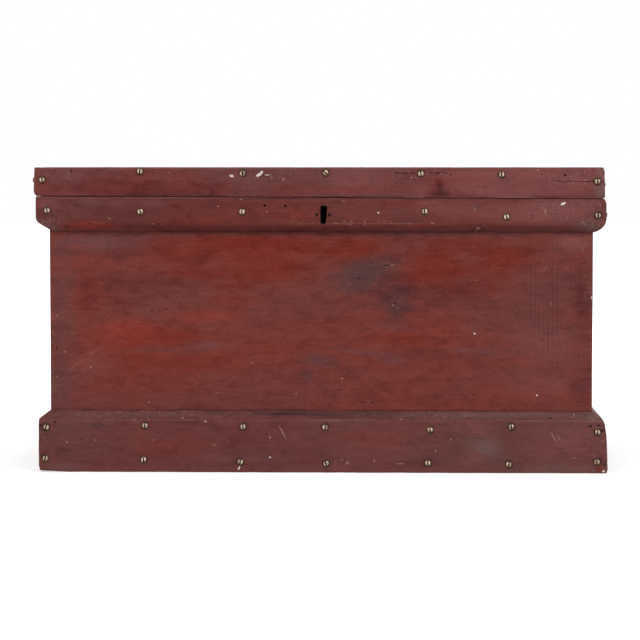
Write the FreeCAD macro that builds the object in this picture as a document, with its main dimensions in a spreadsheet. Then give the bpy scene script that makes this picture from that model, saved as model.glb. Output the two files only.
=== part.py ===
import FreeCAD, Part
import math
import os
from types import SimpleNamespace

import Sketcher

# A painted pine trunk: a dovetailed case on a plinth, with a band round its top,
# and a flat lid with a rim on three sides, hung on two butt hinges, with a box lock.
# Millimetres. +X runs to the right, +Y to the back and +Z up. The origin is on the
# floor, under the middle of the case.

SIZES = {
    # The case: four walls dovetailed at the corners.
    "case_length": 708.0,
    "case_depth": 368.0,
    "wall_height": 355.0,
    "wall_thickness": 18.0,
    "pin_tip_width": 8.0,
    "pin_root_width": 14.0,
    # The bottom: tongued boards that run from front to back.
    "floor_gap": 4.0,
    "bottom_thickness": 16.0,
    "tongue_length": 6.0,
    "tongue_thickness": 5.0,
    "tongue_end_gap": 0.5,
    # The plinth and the band, with a sloped edge against the case.
    "plinth_thickness": 16.0,
    "plinth_height": 79.5,
    "plinth_slope_height": 11.5,
    "band_thickness": 16.0,
    "band_height": 45.0,
    "band_slope_height": 11.0,
    "moulding_lip": 1.0,
    "shoulder_radius": 7.0,
    # The lid: three boards edge to edge inside a rim.
    "lid_thickness": 22.0,
    "rim_height": 38.7,
    "rim_front_clearance": 1.0,
    "rim_side_clearance": 2.0,
    "rim_edge_radius": 1.5,
    "lid_gap": 0.3,
    "seam_gap": 0.8,
    # Round head screws of the rim, the band and the plinth.
    "screw_head_diameter": 9.6,
    "screw_head_height": 3.2,
    "screw_shank_diameter": 4.6,
    "screw_plain_length": 10.0,
    "screw_length": 28.0,
    "screw_slot_width": 1.6,
    "screw_slot_depth": 1.7,
    "pilot_clearance": 0.1,
    "pilot_tip_room": 1.0,
    # Nails of the bottom, and the nail holes that are left in the front.
    "nail_head_diameter": 6.0,
    "nail_head_height": 1.2,
    "nail_shank_diameter": 2.6,
    "nail_length": 42.0,
    "nail_hole_diameter": 2.0,
    "nail_hole_depth": 9.0,
    # Butt hinges, let in flush, with their barrels behind the case.
    "hinge_inset": 128.0,
    "hinge_length": 70.0,
    "hinge_leaf_width": 16.0,
    "hinge_leaf_thickness": 2.0,
    "hinge_barrel_radius": 3.8,
    "hinge_barrel_gap": 0.4,
    "hinge_knuckle_gap": 0.25,
    "hinge_pin_diameter": 3.2,
    "hinge_pin_clearance": 0.05,
    "hinge_pin_head_radius": 2.6,
    "hinge_pin_head_length": 1.3,
    # Flat head screws of the hinges and the strike plate.
    "flat_head_diameter": 6.8,
    "flat_head_height": 1.8,
    "flat_shank_diameter": 3.4,
    "flat_length": 15.0,
    "flat_slot_width": 0.9,
    "flat_slot_depth": 0.9,
    # The keyhole, cut through the band and the front wall.
    "keyhole_offset": 4.3,
    "keyhole_rise": 23.0,
    "keyhole_height": 23.6,
    "keyhole_top_width": 9.3,
    "keyhole_foot_width": 6.8,
    "keyhole_lean": 1.4,
    "keyhole_corner_radius": 2.4,
    # The box lock behind the keyhole.
    "lock_plate_thickness": 2.0,
    "lock_plate_height": 58.0,
    "lock_flange": 6.0,
    "selvedge_depth": 15.0,
    "cap_height": 50.0,
    "cap_depth": 11.5,
    "cap_wall": 1.5,
    "cap_keyhole_width": 6.0,
    "cap_keyhole_height": 18.0,
    "key_pin_diameter": 3.5,
    "key_pin_stand": 1.0,
    "key_pin_drop": 5.4,
    # The bolt and the loops of the strike plate that it locks.
    "bolt_travel": 6.0,
    "bolt_thickness": 3.0,
    "bolt_bar_height": 8.0,
    "bolt_bar_drop": 4.3,
    "bolt_upright_width": 4.0,
    "bolt_finger_height": 4.0,
    "bolt_finger_gap": 1.0,
    "bolt_upright_gap": 0.5,
    "bolt_end_gap": 0.5,
    "talon_width": 9.0,
    "talon_depth": 3.0,
    "guide_spacing": 32.0,
    "guide_pin_diameter": 4.0,
    "guide_clearance": 0.2,
    "spring_thickness": 0.8,
    "spring_rise": 8.0,
    "spring_gap": 0.3,
    "loop_spacing": 36.0,
    "loop_thickness": 3.0,
    "loop_width": 9.0,
    "loop_drop": 13.0,
    "loop_window_width": 5.5,
    "loop_window_height": 6.0,
    "loop_foot": 2.2,
    "loop_slot_clearance": 1.0,
    "loop_slot_front_clearance": 0.9,
    "strike_plate_length": 74.0,
    "strike_plate_width": 13.0,
    "strike_plate_thickness": 2.0,
    "lock_screw_head_diameter": 5.0,
    "lock_screw_head_height": 1.8,
    "lock_screw_shank_diameter": 2.6,
    "lock_screw_length": 12.0,
    "lock_screw_plain_length": 3.0,
    "lock_screw_slot_width": 0.8,
    "lock_screw_slot_depth": 0.8,
    # How far a cutting solid runs past what it cuts.
    "overrun": 2.0,
}

TAIL_COUNT = 6
BOTTOM_BOARD_COUNT = 5
KNUCKLE_COUNT = 5
HINGE_SCREW_COUNT = 3

# The lid sits a little to the left, by this share of its side clearance.
LID_SHIFT_SHARE = -0.75
# Widths of the three lid boards, front to back, as shares of the lid's depth.
LID_BOARD_SHARES = (0.36, 0.31, 0.33)
# The width of a screw's tip as a share of its shank, and the length of its point.
SCREW_TAPER_SHARE = 0.62
SCREW_POINT_SHARE = 0.25

# Screws of a front rail: place along it as a share of its length from its middle,
# height as a share of what it is screwed to, and the turn of the slot in degrees.
RIM_FRONT_SHARES = (
    (-0.3155, 0.755, -6), (-0.1349, 0.65, -4), (0.0123, 0.69, 48), (0.1772, 0.65, 12),
    (0.3186, 0.58, 4),
)
BAND_FRONT_SHARES = (
    (-0.3170, 0.60, 8), (-0.1381, 0.59, -3), (0.1825, 0.61, 7), (0.3256, 0.45, 14),
)
PLINTH_FRONT_HIGH_SHARES = (
    (-0.3092, 0.766, -3), (-0.1362, 0.754, 4), (0.0084, 0.751, -2), (0.1928, 0.709, 3),
    (0.3353, 0.767, 8),
)
PLINTH_FRONT_LOW_SHARES = (
    (-0.3119, 0.78, 5), (-0.1414, 0.62, -6), (0.0100, 0.51, 12), (0.1891, 0.58, -4),
    (0.3311, 0.48, -8),
)
# Corner screws: place in the side rail's end as a share of its thickness, height as
# a share of the rail's height, and the turn of the slot, at the left and the right.
RIM_CORNER_SHARES = ((0.68, 0.57, 14), (0.66, 0.52, 3))
BAND_CORNER_SHARES = ((0.80, 0.62, 10), (0.64, 0.50, 2))
PLINTH_HIGH_CORNER_SHARES = ((0.75, 0.742, -14), (0.66, 0.677, 3))
PLINTH_LOW_CORNER_SHARES = ((0.71, 0.230, -8), (0.66, 0.192, 6))
# Screws of a side rail, from its front end: place along it, height and slot turn.
RIM_SIDE_SHARES = (
    (0.09, 0.24, 5), (0.27, 0.60, -20), (0.53, 0.66, 35), (0.76, 0.58, 0), (0.93, 0.40, 70),
)
BAND_SIDE_SHARES = ((0.10, 0.51, 10), (0.37, 0.56, 0), (0.64, 0.60, -30), (0.90, 0.55, 15))
PLINTH_SIDE_HIGH_SHARES = ((0.13, 0.72, 5), (0.38, 0.75, 20), (0.64, 0.73, -8), (0.88, 0.74, 0))
PLINTH_SIDE_LOW_SHARES = ((0.16, 0.62, 0), (0.40, 0.55, 50), (0.61, 0.60, 5), (0.86, 0.58, -12))
# Nails through each bottom board, as shares of its width from its left edge.
BOTTOM_NAIL_SHARES = (0.3, 0.7)
# Old nail holes in the front: place along the rail and height, as shares.
BAND_NAIL_HOLE_SHARES = ((-0.0993, 0.735), (-0.0632, 0.72))
RIM_NAIL_HOLE_SHARES = ((0.4290, 0.735), (-0.443, 0.80))
# The two pin holes of the lost key plate, from the keyhole's middle, in keyhole widths.
PLATE_PIN_SHARES = (-0.93, 0.78)
# The spring's foot along the free end of the bolt's bar, and the lock screws' heights.
SPRING_FOOT_SHARE = 0.3
LOCK_SCREW_HEIGHT_SHARES = (0.18, 0.78)

doc = FreeCAD.newDocument("trunk")
sheet = doc.addObject("Spreadsheet::Sheet", "sizes")
for row, (alias, number) in enumerate(SIZES.items(), 1):
    sheet.set(f"A{row}", str(number))
    sheet.setAlias(f"A{row}", alias)
doc.recompute()

pieces = []


class Size:
    """A length worked out from the sheet: its value and the formula that gives it."""

    def __init__(self, value, formula):
        self.value = value
        self.formula = formula

    def joined(self, other, sign, value):
        text = other.formula if isinstance(other, Size) else repr(other)
        return Size(value, f"({self.formula} {sign} {text})")

    def __add__(self, other):
        return self.joined(other, "+", self.value + plain(other))

    def __sub__(self, other):
        return self.joined(other, "-", self.value - plain(other))

    def __mul__(self, share):
        return self.joined(share, "*", self.value * share)

    def __truediv__(self, share):
        return self.joined(share, "/", self.value / share)

    def __neg__(self):
        return Size(-self.value, f"(-1 * {self.formula})")

    __rmul__ = __mul__


def plain(size):
    """The number that a size or a number stands for."""
    return size.value if isinstance(size, Size) else size


ZERO = Size(0.0, "0")
S = SimpleNamespace(**{alias: Size(float(sheet.get(alias)), f"sizes.{alias}") for alias in SIZES})


def bind(thing, name, size):
    """Binds a property of a document object to the sheet."""
    thing.setExpression(name, size.formula)


def place(thing, x=ZERO, y=ZERO, z=ZERO, turn=0, axis=(0, 0, 1)):
    """Sets an object's place by the sheet, and turns it about an axis, in degrees."""
    rotation = FreeCAD.Rotation(FreeCAD.Vector(*axis), turn)
    thing.Placement = FreeCAD.Placement(FreeCAD.Vector(0, 0, 0), rotation)
    for letter, size in zip("xyz", (x, y, z)):
        bind(thing, f"Placement.Base.{letter}", size)
    return thing


def new_body(label):
    made = doc.addObject("PartDesign::Body", label)
    made.Label = label
    return made


def origin_part(body, role):
    """A plane or an axis of the body's own origin."""
    return next(part for part in body.Origin.OriginFeatures if part.Role == role)


def new_sketch(body, plane, offset=None):
    """A sketch on a plane of the body's origin, moved along the plane's normal."""
    made = body.newObject("Sketcher::SketchObject", "outline")
    made.AttachmentSupport = [(origin_part(body, plane), "")]
    made.MapMode = "FlatFace"
    if offset is not None:
        bind(made, "AttachmentOffset.Base.z", offset)
    return made


def fix_point(sketch, geometry, point, across, up):
    """Fixes a point of a sketch by the sheet."""
    for size, kind, axis in ((across, "DistanceX", -2), (up, "DistanceY", -1)):
        if size is ZERO:
            sketch.addConstraint(Sketcher.Constraint("PointOnObject", geometry, point, axis))
            continue
        made = sketch.addConstraint(Sketcher.Constraint(kind, -1, 1, geometry, point, size.value))
        bind(sketch, f"Constraints[{made}]", size)


def add_outline(sketch, corners):
    """A closed outline, counter-clockwise: each corner is (across, up) or (across, up, radius)."""
    count = len(corners)
    points = [FreeCAD.Vector(plain(corner[0]), plain(corner[1]), 0) for corner in corners]
    arrive, leave, turns = [], [], []
    for index, corner in enumerate(corners):
        before = (points[index] - points[index - 1]).normalize()
        after = (points[(index + 1) % count] - points[index]).normalize()
        turn = math.atan2(before.x * after.y - before.y * after.x, before.dot(after))
        back = plain(corner[2]) * math.tan(abs(turn) / 2) if len(corner) > 2 else 0
        arrive.append(points[index] - before * back)
        leave.append(points[index] + after * back)
        turns.append(turn)
    lines = [
        sketch.addGeometry(Part.LineSegment(leave[index], arrive[(index + 1) % count]), False)
        for index in range(count)
    ]
    for index, corner in enumerate(corners):
        if len(corner) == 2:
            sketch.addConstraint(Sketcher.Constraint("Coincident", lines[index - 1], 2, lines[index], 1))
            fix_point(sketch, lines[index], 1, *corner)
            continue
        radius, left = plain(corner[2]), turns[index] > 0
        before = (points[index] - points[index - 1]).normalize()
        inward = FreeCAD.Vector(-before.y, before.x, 0) * (1 if left else -1)
        centre = arrive[index] + inward * radius
        first, last = (arrive[index], leave[index]) if left else (leave[index], arrive[index])
        angles = [math.atan2(end.y - centre.y, end.x - centre.x) for end in (first, last)]
        circle = Part.Circle(centre, FreeCAD.Vector(0, 0, 1), radius)
        arc = sketch.addGeometry(Part.ArcOfCircle(circle, *angles), False)
        near, far = (1, 2) if left else (2, 1)
        sketch.addConstraint(Sketcher.Constraint("Tangent", lines[index - 1], 2, arc, near))
        sketch.addConstraint(Sketcher.Constraint("Tangent", arc, far, lines[index], 1))
        bent = sketch.addConstraint(Sketcher.Constraint("Radius", arc, radius))
        bind(sketch, f"Constraints[{bent}]", corner[2])
        tip = sketch.addGeometry(Part.Point(points[index]), True)
        sketch.addConstraint(Sketcher.Constraint("PointOnObject", tip, 1, lines[index - 1]))
        sketch.addConstraint(Sketcher.Constraint("PointOnObject", tip, 1, lines[index]))
        fix_point(sketch, tip, 1, *corner[:2])


def add_rectangle(sketch, left, right, low, high):
    add_outline(sketch, ((left, low), (right, low), (right, high), (left, high)))


def add_circle(sketch, across, up, radius):
    circle = Part.Circle(FreeCAD.Vector(plain(across), plain(up), 0), FreeCAD.Vector(0, 0, 1), radius.value)
    made = sketch.addGeometry(circle, False)
    bound = sketch.addConstraint(Sketcher.Constraint("Radius", made, radius.value))
    bind(sketch, f"Constraints[{bound}]", radius)
    fix_point(sketch, made, 3, across, up)


def pad(body, sketch, length, side="Symmetric", reverse=False):
    """Pads a sketch; a one sided pad follows the plane's normal unless reversed."""
    made = body.newObject("PartDesign::Pad", "pad")
    made.Profile = sketch
    made.SideType = side
    made.Reversed = reverse
    bind(made, "Length", length)
    doc.recompute()
    return made


def pocket(body, sketch, length=None, reverse=False):
    """Cuts a sketch: right through, or one way to a depth, against the plane's normal."""
    before = body.Shape.Volume
    made = body.newObject("PartDesign::Pocket", "pocket")
    made.Profile = sketch
    if length is None:
        made.SideType = "Symmetric"
        made.Type = "ThroughAll"
    else:
        made.Reversed = reverse
        bind(made, "Length", length)
    doc.recompute()
    if not body.Shape.Volume < before:
        raise RuntimeError(f"a pocket of {body.Label} cut nothing")
    return made


def revolve(body, sketch, axis):
    made = body.newObject("PartDesign::Revolution", "turned")
    made.Profile = sketch
    made.ReferenceAxis = (origin_part(body, axis), [""])
    made.Angle = 360
    doc.recompute()
    return made


def repeat(body, feature, axis, length, count):
    """Repeats a feature along an axis of the body."""
    before = body.Shape.Volume
    made = body.newObject("PartDesign::LinearPattern", "repeated")
    made.Originals = [feature]
    made.Direction = (origin_part(body, axis), [""])
    bind(made, "Length", length)
    made.Occurrences = count
    body.Tip = made
    doc.recompute()
    if math.isclose(body.Shape.Volume, before):
        raise RuntimeError(f"a pattern of {body.Label} changed nothing")
    return made


def mirror(body, feature, plane):
    """Mirrors a feature in a plane of the body."""
    made = body.newObject("PartDesign::Mirrored", "mirrored")
    made.Originals = [feature]
    made.MirrorPlane = (origin_part(body, plane), [""])
    body.Tip = made
    doc.recompute()
    return made


def round_edges(body, radius, wanted):
    """Rounds the edges whose middle point passes a test."""
    base = body.Tip
    names = []
    for number, edge in enumerate(base.Shape.Edges, 1):
        middle = edge.valueAt((edge.FirstParameter + edge.LastParameter) / 2)
        if wanted(middle):
            names.append(f"Edge{number}")
    made = body.newObject("PartDesign::Fillet", "rounded")
    made.Base = (base, names)
    bind(made, "Radius", radius)
    doc.recompute()
    return made


def box(label, low, high):
    """A cutting box between two corners."""
    made = doc.addObject("Part::Box", label)
    for name, near, far in zip(("Length", "Width", "Height"), low, high):
        bind(made, name, far - near)
    place(made, *low)
    return made


def group(label, members):
    made = doc.addObject("Part::Compound", label)
    made.Label = label
    made.Links = list(members)
    return made


def copy_of(master, label):
    """A copy that follows its master, moved from where the master lies."""
    link = doc.addObject("App::Link", f"{label}_copy")
    link.LinkedObject = master
    link.LinkTransform = True
    return link


def copies(label, master, places, holder=None):
    """Copies of a master at (x, y, z, turn about Y), in the frame of the piece that holds them."""
    members = [place(copy_of(master, label), x, y, z, turn, axis=(0, 1, 0)) for x, y, z, turn in places]
    made = group(label, members)
    if holder is not None:
        made.Placement = holder.Placement
        for letter in "xyz":
            made.setExpression(f"Placement.Base.{letter}", f"{holder.Name}.Placement.Base.{letter}")
    return made


def cut(label, base, tools):
    """The base with each tool cut out of it in turn, checked to have cut something."""
    made = base
    for tool in tools:
        step = doc.addObject("Part::Cut", f"{label}_cut")
        step.Base, step.Tool, step.Refine = made, tool, True
        doc.recompute()
        if not step.Shape.Volume < made.Shape.Volume:
            raise RuntimeError(f"{tool.Label} cut nothing from {label}")
        made = step
    return made


def finish(label, piece):
    """Names a finished piece and lists it for export."""
    if piece.Label != label:
        piece.Label = label
    pieces.append(piece)
    return piece


# Levels and outer faces that several pieces share.
wall_base = S.floor_gap + S.bottom_thickness
case_top = wall_base + S.wall_height
lid_base = case_top + S.lid_gap
lid_top = lid_base + S.lid_thickness
rim_base = lid_top - S.rim_height
band_base = rim_base - S.seam_gap - S.band_height
half_length = S.case_length / 2
half_depth = S.case_depth / 2
inner_half_depth = half_depth - S.wall_thickness
band_length = S.case_length + S.band_thickness * 2
plinth_length = S.case_length + S.plinth_thickness * 2
rim_front_thickness = S.band_thickness - S.rim_front_clearance
rim_side_thickness = S.band_thickness - S.rim_side_clearance
lid_shift = S.rim_side_clearance * LID_SHIFT_SHARE
lid_front = half_depth + S.rim_front_clearance
lid_board_length = band_length - rim_side_thickness * 2
tail_pitch = S.wall_height / TAIL_COUNT


def wall_with_tails(label):
    """A front or back wall: sockets for the pins at both ends, from edge to edge."""
    body = new_body(label)
    sketch = new_sketch(body, "XZ_Plane")
    add_rectangle(sketch, -half_length, half_length, ZERO, S.wall_height)
    pad(body, sketch, S.wall_thickness)
    sockets = new_sketch(body, "XZ_Plane")
    tip, root = S.pin_tip_width / 2, S.pin_root_width / 2
    shoulder = half_length - S.wall_thickness
    past = half_length + S.overrun
    add_outline(
        sockets,
        (
            (shoulder, -root), (half_length, -tip), (past, -tip),
            (past, tip), (half_length, tip), (shoulder, root),
        ),
    )
    add_outline(
        sockets,
        (
            (-shoulder, root), (-half_length, tip), (-past, tip),
            (-past, -tip), (-half_length, -tip), (-shoulder, -root),
        ),
    )
    repeat(body, pocket(body, sockets), "Z_Axis", S.wall_height, TAIL_COUNT + 1)
    return body


def wall_with_pins(label):
    """An end wall: pins at both ends, with the tails' sockets cut between them."""
    body = new_body(label)
    sketch = new_sketch(body, "XZ_Plane")
    add_rectangle(sketch, -half_depth, half_depth, ZERO, S.wall_height)
    pad(body, sketch, S.wall_thickness)
    outer, inner = (tail_pitch - S.pin_tip_width) / 2, (tail_pitch - S.pin_root_width) / 2
    middle, face = tail_pitch / 2, S.wall_thickness / 2
    for end, reverse in ((half_depth, False), (-half_depth, True)):
        tails = new_sketch(body, "YZ_Plane", end)
        add_outline(
            tails,
            (
                (-face, middle - outer), (face, middle - inner),
                (face, middle + inner), (-face, middle + outer),
            ),
        )
        socket = pocket(body, tails, S.wall_thickness, reverse)
        repeat(body, socket, "Z_Axis", tail_pitch * (TAIL_COUNT - 1), TAIL_COUNT)
    return body


def rail(label, length, thickness, height, slope_height, sloped_foot, returned):
    """A band or plinth rail, its sloped edge at the foot or the head, its face to -Y.

    A returned rail has the same slope cut across both its ends.
    """
    body = new_body(label)
    face, back = -thickness / 2, thickness / 2
    edge = back - S.moulding_lip
    shoulder = slope_height if sloped_foot else height - slope_height
    sketch = new_sketch(body, "YZ_Plane")
    corners = ((edge, ZERO), (back, ZERO), (back, height), (face, height))
    if not sloped_foot:
        corners = ((face, ZERO), (back, ZERO), (back, height), (edge, height))
    add_outline(sketch, (*corners, (face, shoulder, S.shoulder_radius)))
    pad(body, sketch, length)
    if returned:
        end, past = length / 2, length / 2 + S.overrun
        inside = length / 2 - thickness + S.moulding_lip
        sketch = new_sketch(body, "XZ_Plane")
        if sloped_foot:
            corners = (
                (inside, -S.overrun), (past, -S.overrun), (past, shoulder + slope_height),
                (end, shoulder + slope_height), (end, shoulder, S.shoulder_radius), (inside, ZERO),
            )
        else:
            corners = (
                (end, shoulder - slope_height), (past, shoulder - slope_height), (past, height + S.overrun),
                (inside, height + S.overrun), (inside, height), (end, shoulder, S.shoulder_radius),
            )
        add_outline(sketch, corners)
        mirror(body, pocket(body, sketch), "YZ_Plane")
    return body


def rim_rail(label, length, thickness, whole):
    """A rim rail with its outer edges rounded, and its ends too on a whole one."""
    body = new_body(label)
    sketch = new_sketch(body, "XZ_Plane")
    add_rectangle(sketch, -length / 2, length / 2, ZERO, S.rim_height)
    pad(body, sketch, thickness)
    face, end = -plain(thickness) / 2, plain(length) / 2
    near = S.rim_edge_radius.value / 2

    def outer(point):
        on_face = abs(point.y - face) < near
        on_end = whole and abs(abs(point.x) - end) < near
        level = point.z < near or point.z > S.rim_height.value - near
        return (on_face and level) or (on_end and (on_face or point.z > S.rim_height.value - near))

    round_edges(body, S.rim_edge_radius, outer)
    return body


def screw(label, head_diameter, head_height, shank_diameter, length, slot_width, slot_depth, plain_length):
    """A round head wood screw along +Y, the underside of its head at the origin."""
    body = new_body(label)
    sketch = new_sketch(body, "XY_Plane")
    head, shank = head_diameter / 2, shank_diameter / 2
    core = shank * SCREW_TAPER_SHARE
    point = length - plain_length * SCREW_POINT_SHARE
    # The dome is an arc through the rim of the head and its top.
    rise, reach = head_height.value, head.value
    dome = (reach * reach + rise * rise) / (2 * rise)
    centre = FreeCAD.Vector(0, dome - rise, 0)
    edge = math.atan2(-centre.y, reach)
    circle = Part.Circle(centre, FreeCAD.Vector(0, 0, 1), dome)
    arc = sketch.addGeometry(Part.ArcOfCircle(circle, -math.pi / 2, edge), False)
    corners = (
        (head, ZERO), (shank, ZERO), (shank, plain_length),
        (core, point), (ZERO, length), (ZERO, -head_height),
    )
    lines = []
    for first, second in zip(corners, corners[1:]):
        ends = [FreeCAD.Vector(plain(x), plain(y), 0) for x, y in (first, second)]
        lines.append(sketch.addGeometry(Part.LineSegment(*ends), False))
    sketch.addConstraint(Sketcher.Constraint("Coincident", arc, 2, lines[0], 1))
    for first, second in zip(lines, lines[1:]):
        sketch.addConstraint(Sketcher.Constraint("Coincident", first, 2, second, 1))
    sketch.addConstraint(Sketcher.Constraint("Coincident", lines[-1], 2, arc, 1))
    for line, corner in zip(lines, corners):
        fix_point(sketch, line, 1, *corner)
    fix_point(sketch, lines[-1], 2, *corners[-1])
    sketch.addConstraint(Sketcher.Constraint("PointOnObject", arc, 3, -2))
    revolve(body, sketch, "Y_Axis")
    slot = new_sketch(body, "XY_Plane")
    add_rectangle(slot, -slot_width / 2, slot_width / 2, -head_height - S.overrun, slot_depth - head_height)
    pocket(body, slot)
    return body


def flat_screw(label):
    """A flat head wood screw along +Z, the top of its head at the origin."""
    body = new_body(label)
    sketch = new_sketch(body, "XZ_Plane")
    head, shank = S.flat_head_diameter / 2, S.flat_shank_diameter / 2
    core = shank * SCREW_TAPER_SHARE
    point = S.flat_length * (1 - SCREW_POINT_SHARE)
    add_outline(
        sketch,
        ((ZERO, ZERO), (head, ZERO), (shank, S.flat_head_height), (core, point), (ZERO, S.flat_length)),
    )
    revolve(body, sketch, "Z_Axis")
    slot = new_sketch(body, "XZ_Plane")
    add_rectangle(slot, -S.flat_slot_width / 2, S.flat_slot_width / 2, -S.overrun, S.flat_slot_depth)
    pocket(body, slot)
    return body


def flat_screw_seat(label):
    """The countersunk hole for a flat head screw, along +Z from its mouth."""
    body = new_body(label)
    sketch = new_sketch(body, "XZ_Plane")
    head = S.flat_head_diameter / 2 + S.pilot_clearance
    shank = S.flat_shank_diameter / 2 + S.pilot_clearance
    deep = S.flat_length + S.pilot_tip_room
    add_outline(
        sketch,
        (
            (ZERO, -S.overrun), (head, -S.overrun), (head, ZERO),
            (shank, S.flat_head_height), (shank, deep), (ZERO, deep),
        ),
    )
    revolve(body, sketch, "Z_Axis")
    return body


def bore(label, diameter, clearance, length):
    """A straight hole along +Y, from a little before the origin to its length."""
    made = doc.addObject("Part::Cylinder", label)
    bind(made, "Radius", diameter / 2 + clearance)
    bind(made, "Height", S.overrun + length)
    return place(made, ZERO, -S.overrun, ZERO, -90, axis=(1, 0, 0))


def nail(label):
    """A nail along +Z, the underside of its head at the origin."""
    body = new_body(label)
    sketch = new_sketch(body, "XZ_Plane")
    head, shank = S.nail_head_diameter / 2, S.nail_shank_diameter / 2
    point = S.nail_length - S.nail_shank_diameter
    low = -S.nail_head_height
    add_outline(
        sketch,
        ((ZERO, low), (head, low), (head, ZERO), (shank, ZERO), (shank, point), (ZERO, S.nail_length)),
    )
    revolve(body, sketch, "Z_Axis")
    return body


def front_places(length, thickness, side_thickness, shares, corner_shares, level, rail_height):
    """Screw places of a front or back rail, in the rail's own frame."""
    face = -thickness / 2
    found = [(length * along, face, level(up), turn) for along, up, turn in shares]
    for side, (inset, up, turn) in zip((-1, 1), corner_shares):
        found.append(((length / 2 - side_thickness * inset) * side, face, rail_height * up, turn))
    return found


def side_places(length, thickness, shares, level, front_end):
    """Screw places of a side rail, counted from its front end, at +X or -X of its frame."""
    start, face = length / 2, -thickness / 2
    return [((start - length * along) * front_end, face, level(up), turn) for along, up, turn in shares]


def rim_level(up):
    return S.rim_height - S.lid_thickness + S.lid_thickness * up


def band_level(up):
    return S.band_height * up


def plinth_level(up):
    return S.plinth_height * up


def bottom_level(up):
    return S.floor_gap + S.bottom_thickness * up


# Masters of the fasteners, and the bores that they sit in.
round_screw = screw(
    "round_screw", S.screw_head_diameter, S.screw_head_height, S.screw_shank_diameter, S.screw_length,
    S.screw_slot_width, S.screw_slot_depth, S.screw_plain_length,
)
round_bore = bore("round_bore", S.screw_shank_diameter, S.pilot_clearance, S.screw_length + S.pilot_tip_room)
lock_screw = screw(
    "lock_screw", S.lock_screw_head_diameter, S.lock_screw_head_height, S.lock_screw_shank_diameter,
    S.lock_screw_length, S.lock_screw_slot_width, S.lock_screw_slot_depth, S.lock_screw_plain_length,
)
lock_bore = bore(
    "lock_bore", S.lock_screw_shank_diameter, S.pilot_clearance, S.lock_screw_length + S.pilot_tip_room
)
hinge_screw = flat_screw("hinge_screw")
hinge_screw_seat = flat_screw_seat("hinge_screw_seat")
bottom_nail = nail("bottom_nail")
nail_bore = bore("nail_bore", S.nail_shank_diameter, S.pilot_clearance, S.nail_length + S.pilot_tip_room)
nail_hole = bore("nail_hole", S.nail_hole_diameter, ZERO, S.nail_hole_depth)

# The rails of the plinth, the band and the rim: front, back, left and right.
SIDES = (("front", 0), ("back", 180), ("left", -90), ("right", 90))
rails, bores = {}, {}
for side, turn in SIDES:
    across = side in ("left", "right")
    sign = -1 if side in ("front", "left") else 1
    front_end = 1 if side == "left" else -1
    for name, thickness, length, height, base in (
        ("plinth", S.plinth_thickness, plinth_length, S.plinth_height, ZERO),
        ("upper_band", S.band_thickness, band_length, S.band_height, band_base),
    ):
        foot = name == "upper_band"
        slope = S.band_slope_height if foot else S.plinth_slope_height
        own_length = S.case_depth if across else length
        made = rail(f"{name}_{side}_blank", own_length, thickness, height, slope, foot, not across)
        if across:
            place(made, (half_length + thickness / 2) * sign, ZERO, base, turn)
        else:
            place(made, ZERO, (half_depth + thickness / 2) * sign, base, turn)
        spots = []
        if foot and across:
            spots = side_places(own_length, thickness, BAND_SIDE_SHARES, band_level, front_end)
        elif foot:
            spots = front_places(
                length, thickness, thickness, BAND_FRONT_SHARES, BAND_CORNER_SHARES, band_level, height
            )
        elif across:
            spots = side_places(own_length, thickness, PLINTH_SIDE_HIGH_SHARES, plinth_level, front_end)
            spots += side_places(own_length, thickness, PLINTH_SIDE_LOW_SHARES, bottom_level, front_end)
        else:
            for shares, corner_shares, level in (
                (PLINTH_FRONT_HIGH_SHARES, PLINTH_HIGH_CORNER_SHARES, plinth_level),
                (PLINTH_FRONT_LOW_SHARES, PLINTH_LOW_CORNER_SHARES, bottom_level),
            ):
                spots += front_places(length, thickness, thickness, shares, corner_shares, level, height)
        rails[name, side] = made
        bores[name, side] = copies(f"{name}_{side}_bores", round_bore, spots, made)
        finish(f"{name}_{side}_screws", copies(f"{name}_{side}_screws", round_screw, spots, made))

# The lid's rim runs along the front and both sides; its side rails reach the back of the case.
rim_side_length = half_depth + lid_front
for side, turn in SIDES:
    if side == "back":
        continue
    across = side != "front"
    front_end = 1 if side == "left" else -1
    thickness = rim_side_thickness if across else rim_front_thickness
    length = rim_side_length if across else band_length
    made = rim_rail(f"lid_rim_{side}_blank", length, thickness, not across)
    if across:
        middle = (half_depth - lid_front) / 2
        sideways = (band_length / 2 - thickness / 2) * (-1 if side == "left" else 1)
        place(made, sideways + lid_shift, middle, rim_base, turn)
        spots = side_places(length, thickness, RIM_SIDE_SHARES, rim_level, front_end)
    else:
        place(made, lid_shift, -(lid_front + thickness / 2), rim_base, turn)
        spots = front_places(
            length, thickness, rim_side_thickness, RIM_FRONT_SHARES, RIM_CORNER_SHARES, rim_level,
            S.rim_height,
        )
    rails["lid_rim", side] = made
    bores["lid_rim", side] = copies(f"lid_rim_{side}_bores", round_bore, spots, made)
    finish(f"lid_rim_{side}_screws", copies(f"lid_rim_{side}_screws", round_screw, spots, made))

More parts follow.
